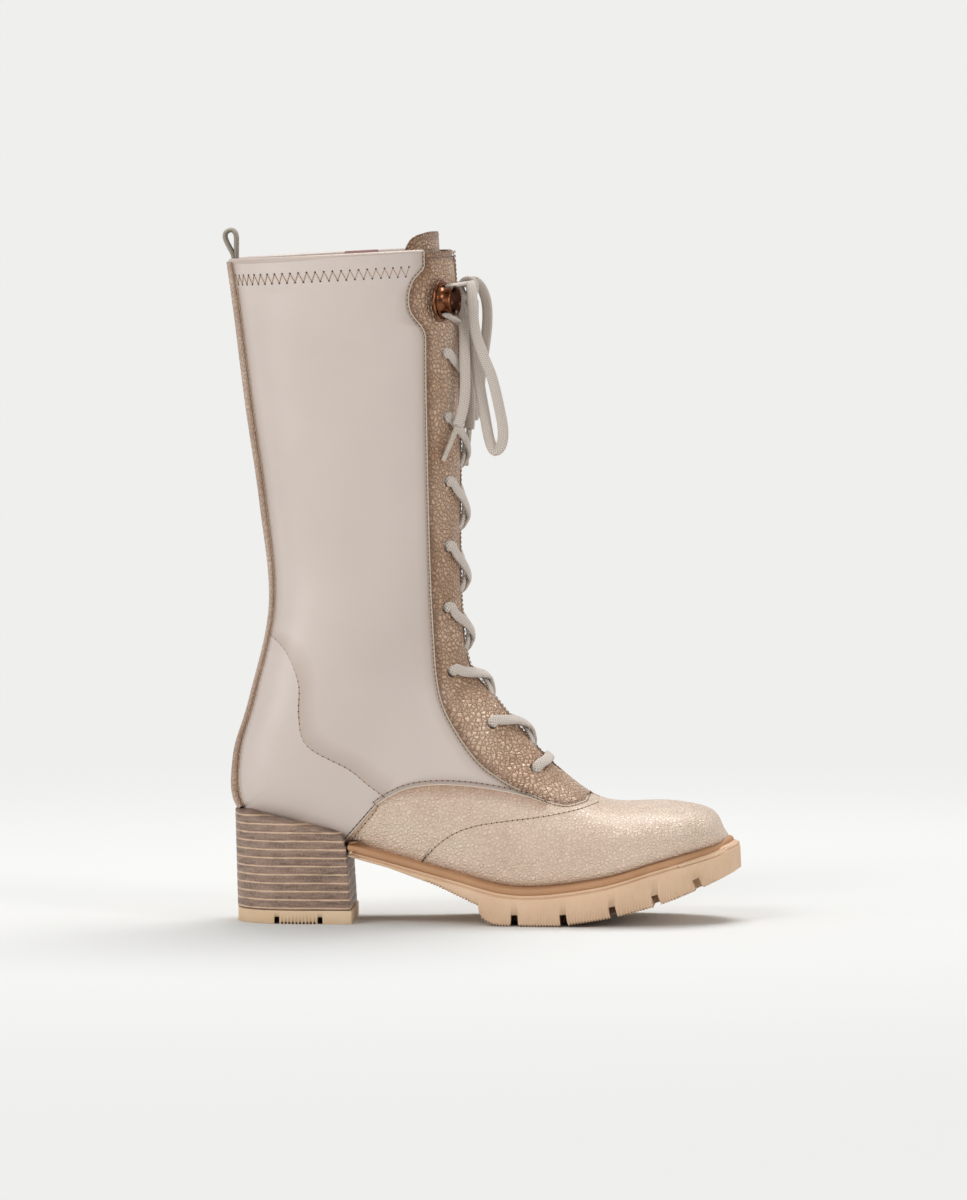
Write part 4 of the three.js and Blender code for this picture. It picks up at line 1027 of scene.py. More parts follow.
LACE_R = 1.5
LACE_UNDER = -1.2 - 0.35 - LACE_R
TONGUE_OUT = LACE_UNDER - LACE_R - 2.2
TONGUE_TOP = COLLAR + 0.72
LINING_OUT = -2.2
LINING_IN = LINING_OUT - 1


def tongue():
    """The tongue, whose top corners are rounded off towards its sides."""
    rows = rows_from(THROAT - 0.4, TONGUE_TOP)
    half = angle_across(rows, mix(0.68, 0.84, smooth(COLLAR - 1.4, COLLAR, rows)) * section(rows)[:, HALF])

    def rounded_top(row, share):
        top = TONGUE_TOP - 0.95 * np.abs(2 * share - 1) ** 7
        start = COLLAR - 1.2
        return np.where(row > start, start + (row - start) * (top - start) / (TONGUE_TOP - start), row)

    piece = sheet("tongue_leather", rows, -half, half, TONGUE_OUT - 0.9, TONGUE_OUT, 48, BRONZE,
                  warp=rounded_top, rims="b", rounded=0.3)
    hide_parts("tongue")
    inner = half[2:-1] * 0.97
    sheet("tongue_lining", rows[2:-1], -inner, inner, TONGUE_OUT - 1.8, TONGUE_OUT - 0.95, 40, LINING,
          warp=rounded_top, rounded=0.2)
    share = np.linspace(0.02, 0.98, 70)
    at = rounded_top(np.full(70, COLLAR + 0.52), share)
    points, normals = edge_line(at, mix(-half[-1], half[-1], share), TONGUE_OUT)
    seam("tongue_top", (points, normals), THREAD_TAN)
    seam("tongue_inside", (points - normals * 1.9, -normals), THREAD_DARK)


def lining():
    """The fabric inside, which stands off the leather more towards the foot."""
    def drop(row, angle):
        return -1.4 * (1 - smooth(11, 15, row))

    rows = rows_from(0.9, THROAT, 0.1)
    full = feather(rows) - 0.06
    vamp = sheet("lining_toe", rows, -full, full, LINING_IN, LINING_OUT, 50, LINING, sag=drop, rounded=0)
    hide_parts("lining_vamp")
    rows = rows_from(THROAT, COLLAR - 0.05, 0.1)
    starts = seam_angles(FACING_SEAM, rows, -2.5, 0.4)
    stops = np.minimum(feather(rows) - np.where(rows < HEEL_ROW, 0.06, 0), np.pi)
    for side, sign in SIDES:
        piece = sheet(f"lining_quarter_{side}", rows, starts * sign, stops * sign, LINING_IN, LINING_OUT, 50,
                      LINING, sag=drop, rounded=0.2)
        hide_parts(f"lining_{side}")


def collar_roll():
    """The collar's rolled edge, which turns in over the lining, and the leather facing inside it."""
    brim = COLLAR - 0.02
    front, back = seam_angle(FACING_SEAM, brim, -1.5), np.pi - 0.14  # the back leaves room for the pull loop
    outer, inner = 0.5, LINING_OUT - 1.1
    middle, reach = (outer + inner) / 2, (outer - inner) / 2
    for name, start, stop in (
            ("lateral", front, back),
            ("medial_front", -front, -zip_angle(brim, -ZIP_HALF)),
            ("medial_rear", -zip_angle(brim, ZIP_HALF), -back)):
        angles = np.linspace(start, stop, 90)
        rows = np.full(90, brim)
        loops = [on_skin(rows - 0.1, angles, 0.1)]
        for a in np.linspace(0, np.pi, 10):
            loops.append(on_skin(rows, angles, middle + reach * math.cos(a)) + [0, 0, 1.9 * math.sin(a)])
        for below, offset in ((0.3, inner), (1.0, inner), (1.0, inner + 0.8), (0.1, inner + 1.5)):
            loops.append(on_skin(rows - below, angles, offset))
        rings = np.array(loops).swapaxes(0, 1)
        add_piece(f"collar_roll_{name}", rings.reshape(-1, 3), ring_faces(90, len(loops)), LEATHER)


def zip_guard():
    """The soft strip behind the zip's upper end."""
    rows = rows_from(COLLAR - 1.6, COLLAR + 0.07, 0.06)
    sheet("zip_guard_strip", rows, -zip_angles(rows, -ZIP_HALF - 3), -zip_angles(rows, ZIP_HALF + 3),
          LINING_OUT - 1.7, LINING_OUT - 0.9, 14, LINING, rounded=0.3)


def collar_zigzag():
    """The hem's zigzag, from facing to back strap on both sides, left out over the zip."""
    row = COLLAR - 0.6
    start, stop = seam_angle(FACING_SEAM, row, 1.0), float(strap_edge(row)) - 0.02
    zigzag("zigzag_lateral", start, stop)
    zigzag("zigzag_medial_front", -start, -zip_angle(row, -ZIP_HALF - 3))
    zigzag("zigzag_medial_rear", -zip_angle(row, ZIP_HALF + 3), -stop)


shaft_lateral()
shaft_medial()
for side, sign in SIDES:
    counter(side, sign)
    wing(side, sign)
    facing(side, sign)
toe_vamp()
back_strap()
tongue()
lining()
collar_roll()
zip_guard()
collar_zigzag()


# ---------------------------------------------------------------- sole and heel
HEEL_FROM = 8


def sole_margin(x, extra):
    """How far the sole stands out past the upper: more at the toe."""
    return SOLE_MARGIN + extra + 4.1 * smooth(85, 122, x)


def plan_half(margin, count):
    """Lateral half of the foot's outline seen from below, toe to heel: x, half width, sway.

    margin gives how far it stands out past the upper at each x.
    """
    rows = np.concatenate([np.linspace(0, 1, 40) ** 1.6 * 1.2, np.linspace(1.2, HEEL_FROM, 160)[1:]])
    s = section(rows)
    side = np.stack([s[:, BX], s[:, HALF], s[:, SWAY]], axis=1)
    seat, back = side[-1], LAST[HEEL_ROW][BX]
    turn = np.linspace(0, np.pi / 2, 50)[1:]
    across = seat[1] * np.maximum(np.cos(turn), 0) ** 0.9
    arc = np.stack([seat[0] + (back - seat[0]) * np.sin(turn), across, 0 * turn], 1)
    side = np.vstack([side, arc])
    mirror = np.vstack([[side[1] * [1, -1, 1]], side, [side[-2] * [1, -1, 1]]])
    along = unit(mirror[2:, :2] - mirror[:-2, :2])
    out = side.copy()
    stand = margin(side[:, 0])
    out[:, 0] += along[:, 1] * stand
    out[:, 1] += -along[:, 0] * stand
    out[:, 1] = np.maximum(out[:, 1], 0)
    return resample(out, distances(out)[-1] / count)


def outline_ring(margin, count):
    """The whole outline as one closed run of x, y, from the toe along the lateral side and back."""
    half = plan_half(margin, count)
    lateral = np.stack([half[:, 0], half[:, 2] - half[:, 1]], axis=1)
    medial = np.stack([half[:, 0], half[:, 2] + half[:, 1]], axis=1)
    return np.vstack([lateral, medial[-2:0:-1]])


def inside_offset(ring, inset):
    """A closed outline moved inwards."""
    along = unit(np.roll(ring, -1, axis=0) - np.roll(ring, 1, axis=0))
    normals = np.stack([along[:, 1], -along[:, 0]], axis=1)
    centre = ring.mean(axis=0)
    if np.sum((ring - centre) * normals) < 0:
        normals = -normals
    return ring - normals * inset


def rubber_block(name, ring, bottom, top, material, low_profile, high_profile, tooth=None):
    """A closed block over a closed outline.

    bottom and top give z for each x. A profile is a list of inset and rise pairs, from the face to the wall.
    tooth is the pitch of the notches along the lower edge.
    """
    z_low, z_high = bottom(ring[:, 0]), top(ring[:, 0])
    room = np.maximum(z_high - z_low, 0.2)
    rises = sum(max(rise for inset, rise in profile) for profile in (low_profile, high_profile))
    squeeze = np.minimum(1, 0.9 * room / rises)
    loops = [np.column_stack([inside_offset(ring, inset), z_low + rise * squeeze])
             for inset, rise in low_profile]
    if tooth is not None:
        notch = np.clip(np.sin(distances(ring) / tooth * 2 * np.pi) * 2, -1, 1) * 0.5 + 0.5
        loops.insert(1, loops[0] + 0)
        for loop, share in zip(loops[1:], (0, 1, 0.8, 0.2)):
            loop[:, 2] += notch * TOOTH_DEPTH * share * (z_low < TOOTH_LIMIT)
    for inset, rise in reversed(high_profile):
        loops.append(np.column_stack([inside_offset(ring, inset), z_high - rise * squeeze]))
    return loops_to_piece(name, loops, bottom, top, material)


def loops_to_piece(name, loops, bottom, top, material):
    """A closed block from outlines stacked upwards. Rungs across the outline fill its two faces."""
    count = len(loops[0])
    vertices = [p for loop in loops for p in loop]
    faces = ring_faces(len(loops), count, caps=False)
    half = count // 2
    for base, height, flip in ((0, bottom, True), ((len(loops) - 1) * count, top, False)):
        rungs = []
        for i in range(1, half):
            a, b = base + i, base + count - i
            rung = [a]
            for share in np.arange(1, RUNG_PARTS) / RUNG_PARTS:
                p = mix(np.array(vertices[a]), np.array(vertices[b]), share)
                p[2] = float(height(np.array([p[0]]))[0])
                rung.append(len(vertices))
                vertices.append(p)
            rungs.append(rung + [b])
        for one, two in zip(rungs[:-1], rungs[1:]):
            for s in range(RUNG_PARTS):
                quad = [one[s], one[s + 1], two[s + 1], two[s]]
                faces.append(quad[::-1] if flip else quad)
        for tip, rung in ((base, rungs[0]), (base + half, rungs[-1])):
            faces += [[tip, rung[s], rung[s + 1]] for s in range(RUNG_PARTS)]
    return add_piece(name, vertices, faces, material)


def curve_height(points):
    dense = spline(points, 300)
    order = np.argsort(dense[:, 0])
    return lambda x: np.interp(x, dense[order, 0], dense[order, 1])


SOLE_MARGIN = 3.2
TOOTH_DEPTH = 1.1
TOOTH_LIMIT = 22  # the sole has teeth up to this height
RUNG_PARTS = 14
SLOT_CORE = 15  # half width of the sole's solid middle, between the slots
SLOT_OUT = 75
SLOTS_X = (14.5, 40.1, 65.6, 87.8, 109.1)
ROLL = 3.8  # height of the rounded roll round the foot
BREAST = -72
TOE_RISE = 0.3  # slope of the sole past the last's tip
BOTTOM_LINE = spline(LAST[:9, [BX, BZ]][::-1], 400)
WAIST_AT_LUG = 12.4
WAIST_DEEP = np.array([[-75, 5.0], [-51, 5.2], [-34, 6.7], [-25, 8.0], [-17, 9.8], [-8, 11.6], [-4.6, 12.2]])
LUG_BACK = -4.6
TREAD = spline(
    [[30, 0], [38, 0.3], [50, 2.1], [62.6, 4.2], [77.5, 7.7], [92, 11.9], [112, 19.6], [129, 27]], 300)


def bottom_line(x):
    """Height of the upper's lower edge."""
    x = np.asarray(x, float)
    return np.interp(x, BOTTOM_LINE[:, 0], BOTTOM_LINE[:, 1]) + np.maximum(0, x - TOE_X) * TOE_RISE


def tread(x):
    """Height of the sole's underside: the waist, the rear of the lugs, and the rise to the toe."""
    x = np.asarray(x, float)
    waist = bottom_line(x) - np.interp(x, WAIST_DEEP[:, 0], WAIST_DEEP[:, 1])
    rear = np.interp(x, [LUG_BACK, LUG_BACK + 0.7, -2.6, 0.6, 4, 8.5], [WAIST_AT_LUG, 7.4, 4.0, 1.7, 0.5, 0])
    return np.where(x < LUG_BACK, waist, np.where(x < 30, rear, np.interp(x, TREAD[:, 0], TREAD[:, 1])))


def slot_cutters(x, low, wide, deep, flare, tilt=0.0):
    """A tapered slot from each side of the sole towards its solid core, wider at the bottom."""
    return [slot_cutter(x, low, wide, deep, flare, tilt, ends)
            for ends in ((-SLOT_OUT, -SLOT_CORE), (SLOT_CORE, SLOT_OUT))]


def slot_cutter(x, low, wide, deep, flare, tilt, ends):
    foot, head = wide / 2 + flare / 2, wide / 2
    turned = [(a * math.cos(tilt) - b * math.sin(tilt), a * math.sin(tilt) + b * math.cos(tilt))
              for a, b in ((-foot, -4.0), (foot, -4.0), (head, deep), (-head, deep))]
    vertices = [tuple(metres([x + a, y, low + b])) for y in ends for a, b in turned]
    mesh = bpy.data.meshes.new("slot")
    walls = [(i, i + 4, (i + 1) % 4 + 4, (i + 1) % 4) for i in range(4)]
    mesh.from_pydata(vertices, [], [(0, 1, 2, 3), (7, 6, 5, 4)] + walls)
    return outward(link_object("slot", mesh))


def sole():
    """The lug sole under the forefoot, with a thin ridge along its top."""
    ring = outline_ring(lambda x: sole_margin(x, -0.3) - 1.2 * smooth(-2, -30, x), 1000)
    ring = ring[ring[:, 0] > BREAST + 0.8]
    top = lambda x: bottom_line(x) - ROLL + 0.6 + 1.0 * smooth(10, -40, x)
    ridge = [(4.0, 0.0), (2.6, 0.1), (2.1, 0.45), (1.9, 1.0), (2.1, 1.55), (2.5, 1.9), (2.5, 2.1),
             (1.1, 2.2), (0.6, 2.5), (0.5, 3.0)]
    foot = [(6.0, 0.0), (0.4, 0.1), (0.0, 0.5)]
    piece = rubber_block("lug_outsole", ring, tread, top, SOLE, foot, ridge, tooth=1.5)
    cutters = []
    for x in SLOTS_X:
        before, low, after = map(float, tread([x - 2, x, x + 2]))
        cutters += slot_cutters(x, low, 3.3, 5.9, 1.3, math.atan((after - before) / 4))
    cut_away(piece, cutters)
    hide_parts("outsole")


def welt():
    """The rounded roll that runs round the whole foot and forms the waist."""
    stand = lambda x: sole_margin(x, -2.0) - 0.4 * smooth(0, -40, x) - 2.2 * smooth(90, 122, x)
    ring = outline_ring(stand, 520)
    ring = ring[ring[:, 0] > BREAST + 0.4]
    turn = np.linspace(0, np.pi / 2, 8)
    side = [(ROLL / 2 * (1 - math.sin(a)) * 1.1, ROLL / 2 * (1 - math.cos(a))) for a in turn]
    ledge = [(7.5, -1.6), (4.5, -0.7), (3.0, -0.2)]  # rises inwards until it meets the leather
    low = lambda x: bottom_line(x) - ROLL + 1.2 * smooth(10, -40, x)
    high = lambda x: bottom_line(x) + 0.25 + 1.2 * smooth(10, -40, x)
    piece = rubber_block("welt_roll", ring, low, high, SOLE_ROLL, side, ledge + side)
    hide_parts("welt")


def rope_ridge():
    """The stretch of the ridge that is notched like rope, round the toe."""
    half = plan_half(lambda x: sole_margin(x, -0.3) - 1.8, 600)
    half = half[half[:, 0] > 98]
    path = np.vstack([
        np.column_stack([half[::-1, 0], half[::-1, 2] - half[::-1, 1]]),
        np.column_stack([half[1:, 0], half[1:, 2] + half[1:, 1]])])
    path = np.column_stack([path, bottom_line(path[:, 0]) - ROLL - 0.35])
    line = resample(path, 0.25)
    normals = np.tile([0.0, 0.0, 1.0], (len(line), 1))
    twist = lambda p, turn: 1 + 0.16 * np.sin(np.arange(len(p))[:, None] * 0.5 * np.pi / 1.9 + turn[None, :])
    add_piece("sole_rope_ridge", *sweep(line, normals, 1.7, 1.7, 12, twist), SOLE)


LIFT = 7
HEEL_TOP = [[-131, 57.6], [-114, 54], [-95, 50.5], [-76.5, 46.2], [-74.2, 43.5], [-73, 40]]


def heel():
    """The stacked heel with its layers, and the rubber lift under it."""
    ring = outline_ring(lambda x: 0.1 + 2.7 * smooth(-106, -127, x), 520)
    ring = ring[ring[:, 0] < BREAST - 0.4]
    order = heel_ring(ring)
    top = curve_height(HEEL_TOP)
    low = lambda x: np.full(len(np.atleast_1d(x)), LIFT + 0.15)
    front_share = smooth(-112, -74, order[:, 0])
    rear_share = smooth(-108, -124, order[:, 0])

    def leaned(inset, height):
        """The outline at a height: the breast slopes back towards the top."""
        xy = inside_offset(order, inset)
        back = np.clip((height - LIFT) / 40, 0, 1) * 2.6
        xy[:, 0] += (2.4 - back) * front_share + 1.5 * rear_share * (1 - np.clip(height / 57, 0, 1))
        return xy

    z_top = np.minimum(top(order[:, 0]), 60)
    loops = [np.column_stack([leaned(0.5, LIFT), low(order[:, 0])]),
             np.column_stack([leaned(0, LIFT), low(order[:, 0]) + 0.4])]
    for level in np.arange(STACK_PITCH, 60, STACK_PITCH):
        if level < LIFT + 1:
            continue
        for rise, inset in ((-0.45, 0), (0, 0.22), (0.45, 0)):
            z = np.minimum(level + rise, z_top - 1.2 - 0.01 * (60 - level))
            loops.append(np.column_stack([leaned(inset, z), z]))
    for inset, rise in ((0, -0.6), (0.25, -0.15), (0.8, 0), (5.5, 1.6)):
        loops.append(np.column_stack([leaned(inset, z_top), z_top + rise]))
    piece = loops_to_piece("stacked_heel", loops, low, top, HEEL)
    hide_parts("heel_block")
    flat = lambda x: np.zeros(len(np.atleast_1d(x)))
    lift_top = lambda x: np.full(len(np.atleast_1d(x)), LIFT - 0.05)
    grown = order.copy()
    grown[:, 0] += 3.2 * front_share + 1.5 * rear_share
    edge = [(0.54, 0.0), (0.15, 0.042), (0, 0.21)]
    lift = rubber_block("heel_lift", grown, flat, lift_top, LIFT_RUBBER, edge, edge)
    first, last = -107.9, -85.6  # the two deep notches, with ten shallow ones between them
    gap = (last - first) / 12
    cutters = slot_cutters(first, 0, 2.5, 3.7, 0.5) + slot_cutters(last, 0, 2.5, 3.7, 0.5)
    for i in range(10):
        cutters += slot_cutters(first + gap * (i + 1.5), 0, 1.0, 1.1, 0.0)
    cut_away(lift, cutters)
    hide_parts("heel_top_lift")


def heel_ring(ring):
    """The heel's outline from its rear point, closed by a straight breast with rounded corners."""
    lateral = ring[ring[:, 1] <= 0]
    lateral = lateral[np.argsort(-lateral[:, 0])]
    half = lateral[:, 1].min()
    front = BREAST - 0.4
    breast_y = np.linspace(0, half + 0.9, 24)
    corner = [[front - 0.9 + 0.9 * math.cos(a), half + 0.9 - 0.9 * math.sin(a)]
              for a in np.linspace(0.1, math.pi / 2, 8)]
    side = lateral[lateral[:, 0] < front - 1.1]
    lateral_run = np.vstack([np.column_stack([np.full(24, front), breast_y]), corner, side])
    medial_run = (lateral_run * [1, -1])[-2:0:-1]
    return np.vstack([lateral_run, medial_run])


sole()
welt()
rope_ridge()
heel()
dress("insole_board", BOARD)
dress("footbed", LINING)


# ---------------------------------------------------------------- pull loop
def pull_loop():
    """A strip of webbing folded into a drop shape."""
    low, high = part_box("pull_loop")
    low, high = np.array(low) / MM - SHIFT, np.array(high) / MM - SHIFT
    x, y = (low[0] + high[0]) / 2, (low[1] + high[1]) / 2
    foot, crown = low[2] + 0.3, high[2] - 1.5
    tall = crown - foot
    shape = [
        (1.7, 0.0), (1.5, 0.10), (0.9, 0.22), (-0.6, 0.40), (-2.1, 0.60), (-2.9, 0.77), (-2.5, 0.91),
        (-0.9, 0.99), (0.9, 1.0), (2.3, 0.91), (2.9, 0.76), (2.95, 0.55), (2.9, 0.32), (2.9, 0.14),
        (2.9, 0.0)]
    path = spline([[x + across, y, foot + share * tall] for across, share in shape], 110)
    tangent = np.gradient(path, axis=0)
    normals = np.stack([tangent[:, 2], 0 * tangent[:, 0], -tangent[:, 0]], axis=1)
    rib = lambda p, turn: 1 + 0.03 * np.sin(np.arange(len(p)) * 2.1)[:, None] * np.ones((1, len(turn)))
    piece = add_piece("heel_pull_loop", *sweep(path, normals, 12.6, 2.5, 20, rib), WEBBING, "heel_loop")
    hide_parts("pull_loop")


pull_loop()


# ---------------------------------------------------------------- zip
TOOTH_PITCH = 2.0


def zip_teeth():
    """Two rows of single teeth that mesh with each other."""
    head = metres(on_skin(COLLAR - 0.03, -zip_angle(COLLAR - 0.03, 0), -0.3))
    foot = metres(on_skin(ZIP_LOW + 0.06, -zip_angle(ZIP_LOW + 0.06, 0), -0.3))
    up = Vector(head - foot).normalized()
    out = Vector(normal(14, -zip_angle(14, 0)))
    out = (out - up * out.dot(up)).normalized()
    side = out.cross(up).normalized()
    length = np.linalg.norm(head - foot) / MM
    for name, sign in (("front", 1), ("rear", -1)):
        bm = bmesh.new()
        turn = Matrix((side * sign, out, up)).transposed().to_4x4()
        for i in range(int((length - 6) / TOOTH_PITCH)):
            along = 3.6 + i * TOOTH_PITCH + (TOOTH_PITCH / 2 if sign < 0 else 0)
            middle = Vector(foot) + up * along * MM + side * sign * 1.15 * MM
            size = Matrix.Diagonal((2.7 * MM, 1.3 * MM, 0.95 * MM, 1))
            bmesh.ops.create_cube(bm, size=1, matrix=Matrix.Translation(middle) @ turn @ size)
        mesh = bpy.data.meshes.new(f"zip_tooth_row_{name}")
        bm.to_mesh(mesh)
        bm.free()
        piece = link_object(f"zip_tooth_row_{name}", mesh)
        mesh.materials.append(COPPER)
        bevel(piece, 0.25, 2)
        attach(piece, "boot")
        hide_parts(f"zip_teeth_{name}")


def zip_cloth():
    rows = rows_from(ZIP_LOW + 0.03, COLLAR - 0.03, 0.1)
    for name, near, far in (("front", -0.9, -ZIP_HALF - 2), ("rear", 0.9, ZIP_HALF + 2)):
        piece = sheet(f"zip_cloth_{name}", rows, -zip_angles(rows, near), -zip_angles(rows, far), -1.75,
                      -1.2, 8, TAPE, rounded=0)
        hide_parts(f"zip_tape_{name}")


zip_teeth()
zip_cloth()
dress("zip_bottom_stop", COPPER, rounded=0.25)
dress("zip_slider", COPPER, rounded=0.3)
dress("zip_pull", COPPER, rounded=0.3)


# ---------------------------------------------------------------- hooks
BEADS = 44
BEAD_R = 0.5


def hook(side, sign):
    """A turned post with a beaded flange, a waist and an open mouth."""
    profile = [
        (0, 0), (9.4, 0), (10.3, 0.25), (10.8, 0.8), (10.7, 1.25), (10.1, 1.55), (9.0, 1.6), (8.8, 1.25),
        (7.7, 1.25), (7.5, 1.6), (6.9, 2.1), (6.6, 2.8), (6.45, 3.8), (6.6, 5.0), (7.0, 6.4), (7.5, 7.8),
        (7.75, 8.4), (7.6, 8.65), (7.2, 8.6), (6.7, 7.8), (6.0, 6.2), (5.4, 4.4), (4.2, 3.8), (0, 3.6),
    ]
    angle = float(angle_across(HOOK_ROW, HOOK_OUT)) * sign
    out = normal(HOOK_ROW, angle) * [1.9, 1, 1]
    out = Vector(out / np.linalg.norm(out))
    at = Vector(metres(on_skin(HOOK_ROW, angle, FACING_OUT + 0.5)))
    turn = Vector((0, 0, 1)).rotation_difference(out).to_matrix().to_4x4()
    sides = 64
    vertices = [(radius * math.cos(a), radius * math.sin(a), height) for radius, height in profile
                for a in np.linspace(0, 2 * math.pi, sides, endpoint=False)]
    faces = ring_faces(len(profile), sides, caps=False)
    for spot in np.linspace(0, 2 * math.pi, BEADS, endpoint=False):
        faces += ring_faces(5, 8, len(vertices), caps=False)
        for lat in np.linspace(-math.pi / 2, math.pi / 2, 5):
            for lon in np.linspace(0, 2 * math.pi, 8, endpoint=False):
                flat = math.cos(lat)
                ball = np.array([flat * math.cos(lon), flat * math.sin(lon), math.sin(lat)])
                vertices.append(ball * BEAD_R + [8.25 * math.cos(spot), 8.25 * math.sin(spot), 1.5])
    place = Matrix.Translation(at) @ turn @ Matrix.Scale(MM, 4)
    piece = new_object(f"lace_hook_{side}", [tuple(place @ Vector(v)) for v in vertices], faces, COPPER)
    # The lip and the inside of the mouth take a darker copper: painted shade in the hollow.
    piece.data.materials.append(COPPER_MOUTH_SHADE)
    for polygon in range(sides * (len(profile) - 8), sides * (len(profile) - 1)):
        piece.data.polygons[polygon].material_index = 1
    outward(piece)
    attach(piece, "boot")
    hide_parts(f"hook_{side}")
    HOOKS[side] = (on_skin(HOOK_ROW, angle, FACING_OUT + 0.5), np.array(out))


HOOKS = {}
for side, sign in SIDES:
    hook(side, sign)


# ---------------------------------------------------------------- laces
LACE_W = 5.6
LACE_T = 2.3
LACE_STEP = 0.8


def ribbon(name, points, normals, width=LACE_W, thick=LACE_T):
    """A stretch of flat lace along a line, with its length and width as a map for the braid."""
    line = resample(np.hstack([points, normals]), LACE_STEP)
    path, around = line[:, :3], 16
    piece = add_piece(name, *sweep(path, line[:, 3:], width, thick, around), LACE, closed=False)
    loops = np.zeros(len(piece.data.loops), int)
    piece.data.loops.foreach_get("vertex_index", loops)
    turn = 2 * np.pi * (loops % around) / around
    coordinates = np.stack([loops // around * LACE_STEP, np.cos(turn) * 0.5], axis=1)
    piece.data.uv_layers.new(name="lace").data.foreach_set("uv", coordinates.reshape(-1).astype(np.float32))
    return piece, metres(path)


def along_skin(stations, step=14):
    """A smooth line through (row, angle, offset) stations on the surface, with its normals."""
    dense = spline(stations, step * (len(stations) - 1) + 1)
    return on_skin(dense[:, 0], dense[:, 1], dense[:, 2]), normal(dense[:, 0], dense[:, 1])


def held_lace():
    """The bar at the throat, and two crossings from each pair of eyelets to the next."""
    lift = FACING_OUT + LACE_T / 2 + 0.1
    row, angle = EYELETS[0]
    half = [(row, angle, -1.5), (row - 0.02, angle - 0.03, 1.0), (row - 0.05, angle - 0.12, lift),
            (row - 0.12, angle * 0.5, lift + 0.3)]
    mirrored = [(r, -a, offset) for r, a, offset in reversed(half)]
    bar, _ = ribbon("lace_bar", *along_skin(half + [(row - 0.14, 0, lift + 0.3)] + mirrored))
    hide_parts("lace_run")
    for i, ((row, angle), (next_row, next_angle)) in enumerate(zip(EYELETS[:-1], EYELETS[1:])):
        gap = float(facing_edge(row))
        for side, sign in SIDES:
            over = LACE_T + 0.25 if sign < 0 else 0.0
            stations = [
                (row + 0.02, (gap + 0.12) * sign, -3.4),
                (mix(row, next_row, 0.12), gap * 0.7 * sign, -1.6),
                (mix(row, next_row, 0.25), gap * 0.35 * sign, lift - 1.0 + over * 0.5),
                (mix(row, next_row, 0.42), 0.0, lift + 0.2 + over),
                (mix(row, next_row, 0.62), -gap * sign, lift + 0.3 + over * 0.6),
                (mix(row, next_row, 0.85), mix(-gap, -next_angle, 0.6) * sign, lift + over * 0.2),
                (next_row - 0.03, -(next_angle - 0.07) * sign, lift - 0.1),
                (next_row, -(next_angle - 0.01) * sign, 0.8),
                (next_row, -next_angle * sign, -1.8),
            ]
            ribbon(f"lace_cross_{side}_{i}", *along_skin(stations))


held_lace()


# ---------------------------------------------------------------- bow
KNOT = on_skin(HOOK_ROW, 0, 6.6) + [0, 0, 6]


def from_knot(*points):
    return np.array(points, float) + KNOT


# Routes of the two loops and the two ends, from the middle of the knot, as in the CAD source.
LATERAL_LOOP = from_knot(
    [0, -7.2, 1.2], [1.5, -12, 2.5], [2.5, -16, -2], [3, -19, -10], [4.6, -21.5, -22],
    [8.6, -23, -34], [13, -23.5, -45], [16.5, -24, -59], [18.8, -24, -72], [18, -23.4, -80],
    [14.6, -22.4, -83], [11.8, -21.4, -77.5], [9.2, -20, -64], [6.4, -18.4, -48], [4, -15.6, -30],
    [2.6, -11.6, -14], [2.2, -8.4, -6.5])
MEDIAL_LOOP = from_knot(
    [0.5, 7.2, 1.2], [3, 11.5, 3], [6.2, 15.5, -0.5], [8.4, 18.5, -7], [9, 20.5, -15],
    [8.4, 22, -24], [6.8, 23.4, -36], [5.2, 24, -48], [4, 24, -58], [2.6, 22.6, -65.5],
    [1.8, 19.4, -67.8], [1.6, 16.8, -62], [1.6, 15.6, -50], [1.8, 14.8, -36], [2, 13.4, -22],
    [2.2, 11, -12], [2.2, 8.4, -6.5])
LATERAL_END = from_knot(
    [-2.4, -5.6, -4.2], [-2.4, -9.4, -8.5], [-2, -13, -12.5], [-1.6, -16, -17.5], [-1.4, -18.2, -23],
    [-1.2, -20, -28.5], [-1, -21.4, -34], [-0.8, -22.6, -39.5], [-0.6, -23.6, -45], [-0.6, -24.4, -50],
    [-0.8, -25.1, -55], [-1.3, -25.7, -59.5], [-2.1, -26.2, -63.5], [-3.1, -26.7, -67.2],
    [-4.4, -27.2, -70.4])
MEDIAL_END = from_knot(
    [-2.4, 5.6, -4.2], [-2, 8, -8.5], [-0.9, 9.4, -13], [0, 10, -18], [0.4, 10.2, -23.5],
    [0.5, 10.4, -29], [0.5, 10.6, -34.5], [0.5, 10.8, -40], [0.5, 11, -45.5], [0.5, 11.2, -51],
    [0.5, 11.6, -56], [0.5, 12, -61], [0.4, 12.4, -65.5], [0.2, 12.8, -69.5], [-0.1, 13.2, -73])


def free_lace(name, node, points, facing_way):
    """A loose stretch of the lace, turning its flat side as it goes."""
    dense = spline(points, 200)
    share = np.linspace(0, 1, len(dense))[:, None]
    ups = mix(np.array(facing_way[0], float), np.array(facing_way[1], float), share)
    piece, path = ribbon(name, dense, ups)
    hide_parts(node)


def knot():
    """Two turns of lace round each other."""
    for number, (tilt, size) in enumerate(((0.25, 1.0), (-0.5, 0.86))):
        turn = np.linspace(0, 2 * np.pi, 80)
        across = 3.2 * size * np.sin(turn) * math.sin(tilt) + 3.2 * (number - 0.5)
        ring = np.stack([4.2 * size * np.cos(turn), across, 4.6 * size * np.sin(turn)], axis=1)
        points = ring + KNOT
        ups = ring - ring.mean(axis=0)
        piece, _ = ribbon(f"knot_turn_{number}", points, ups, width=6.2, thick=2.6)
        if number == 0:
            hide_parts("bow_knot")


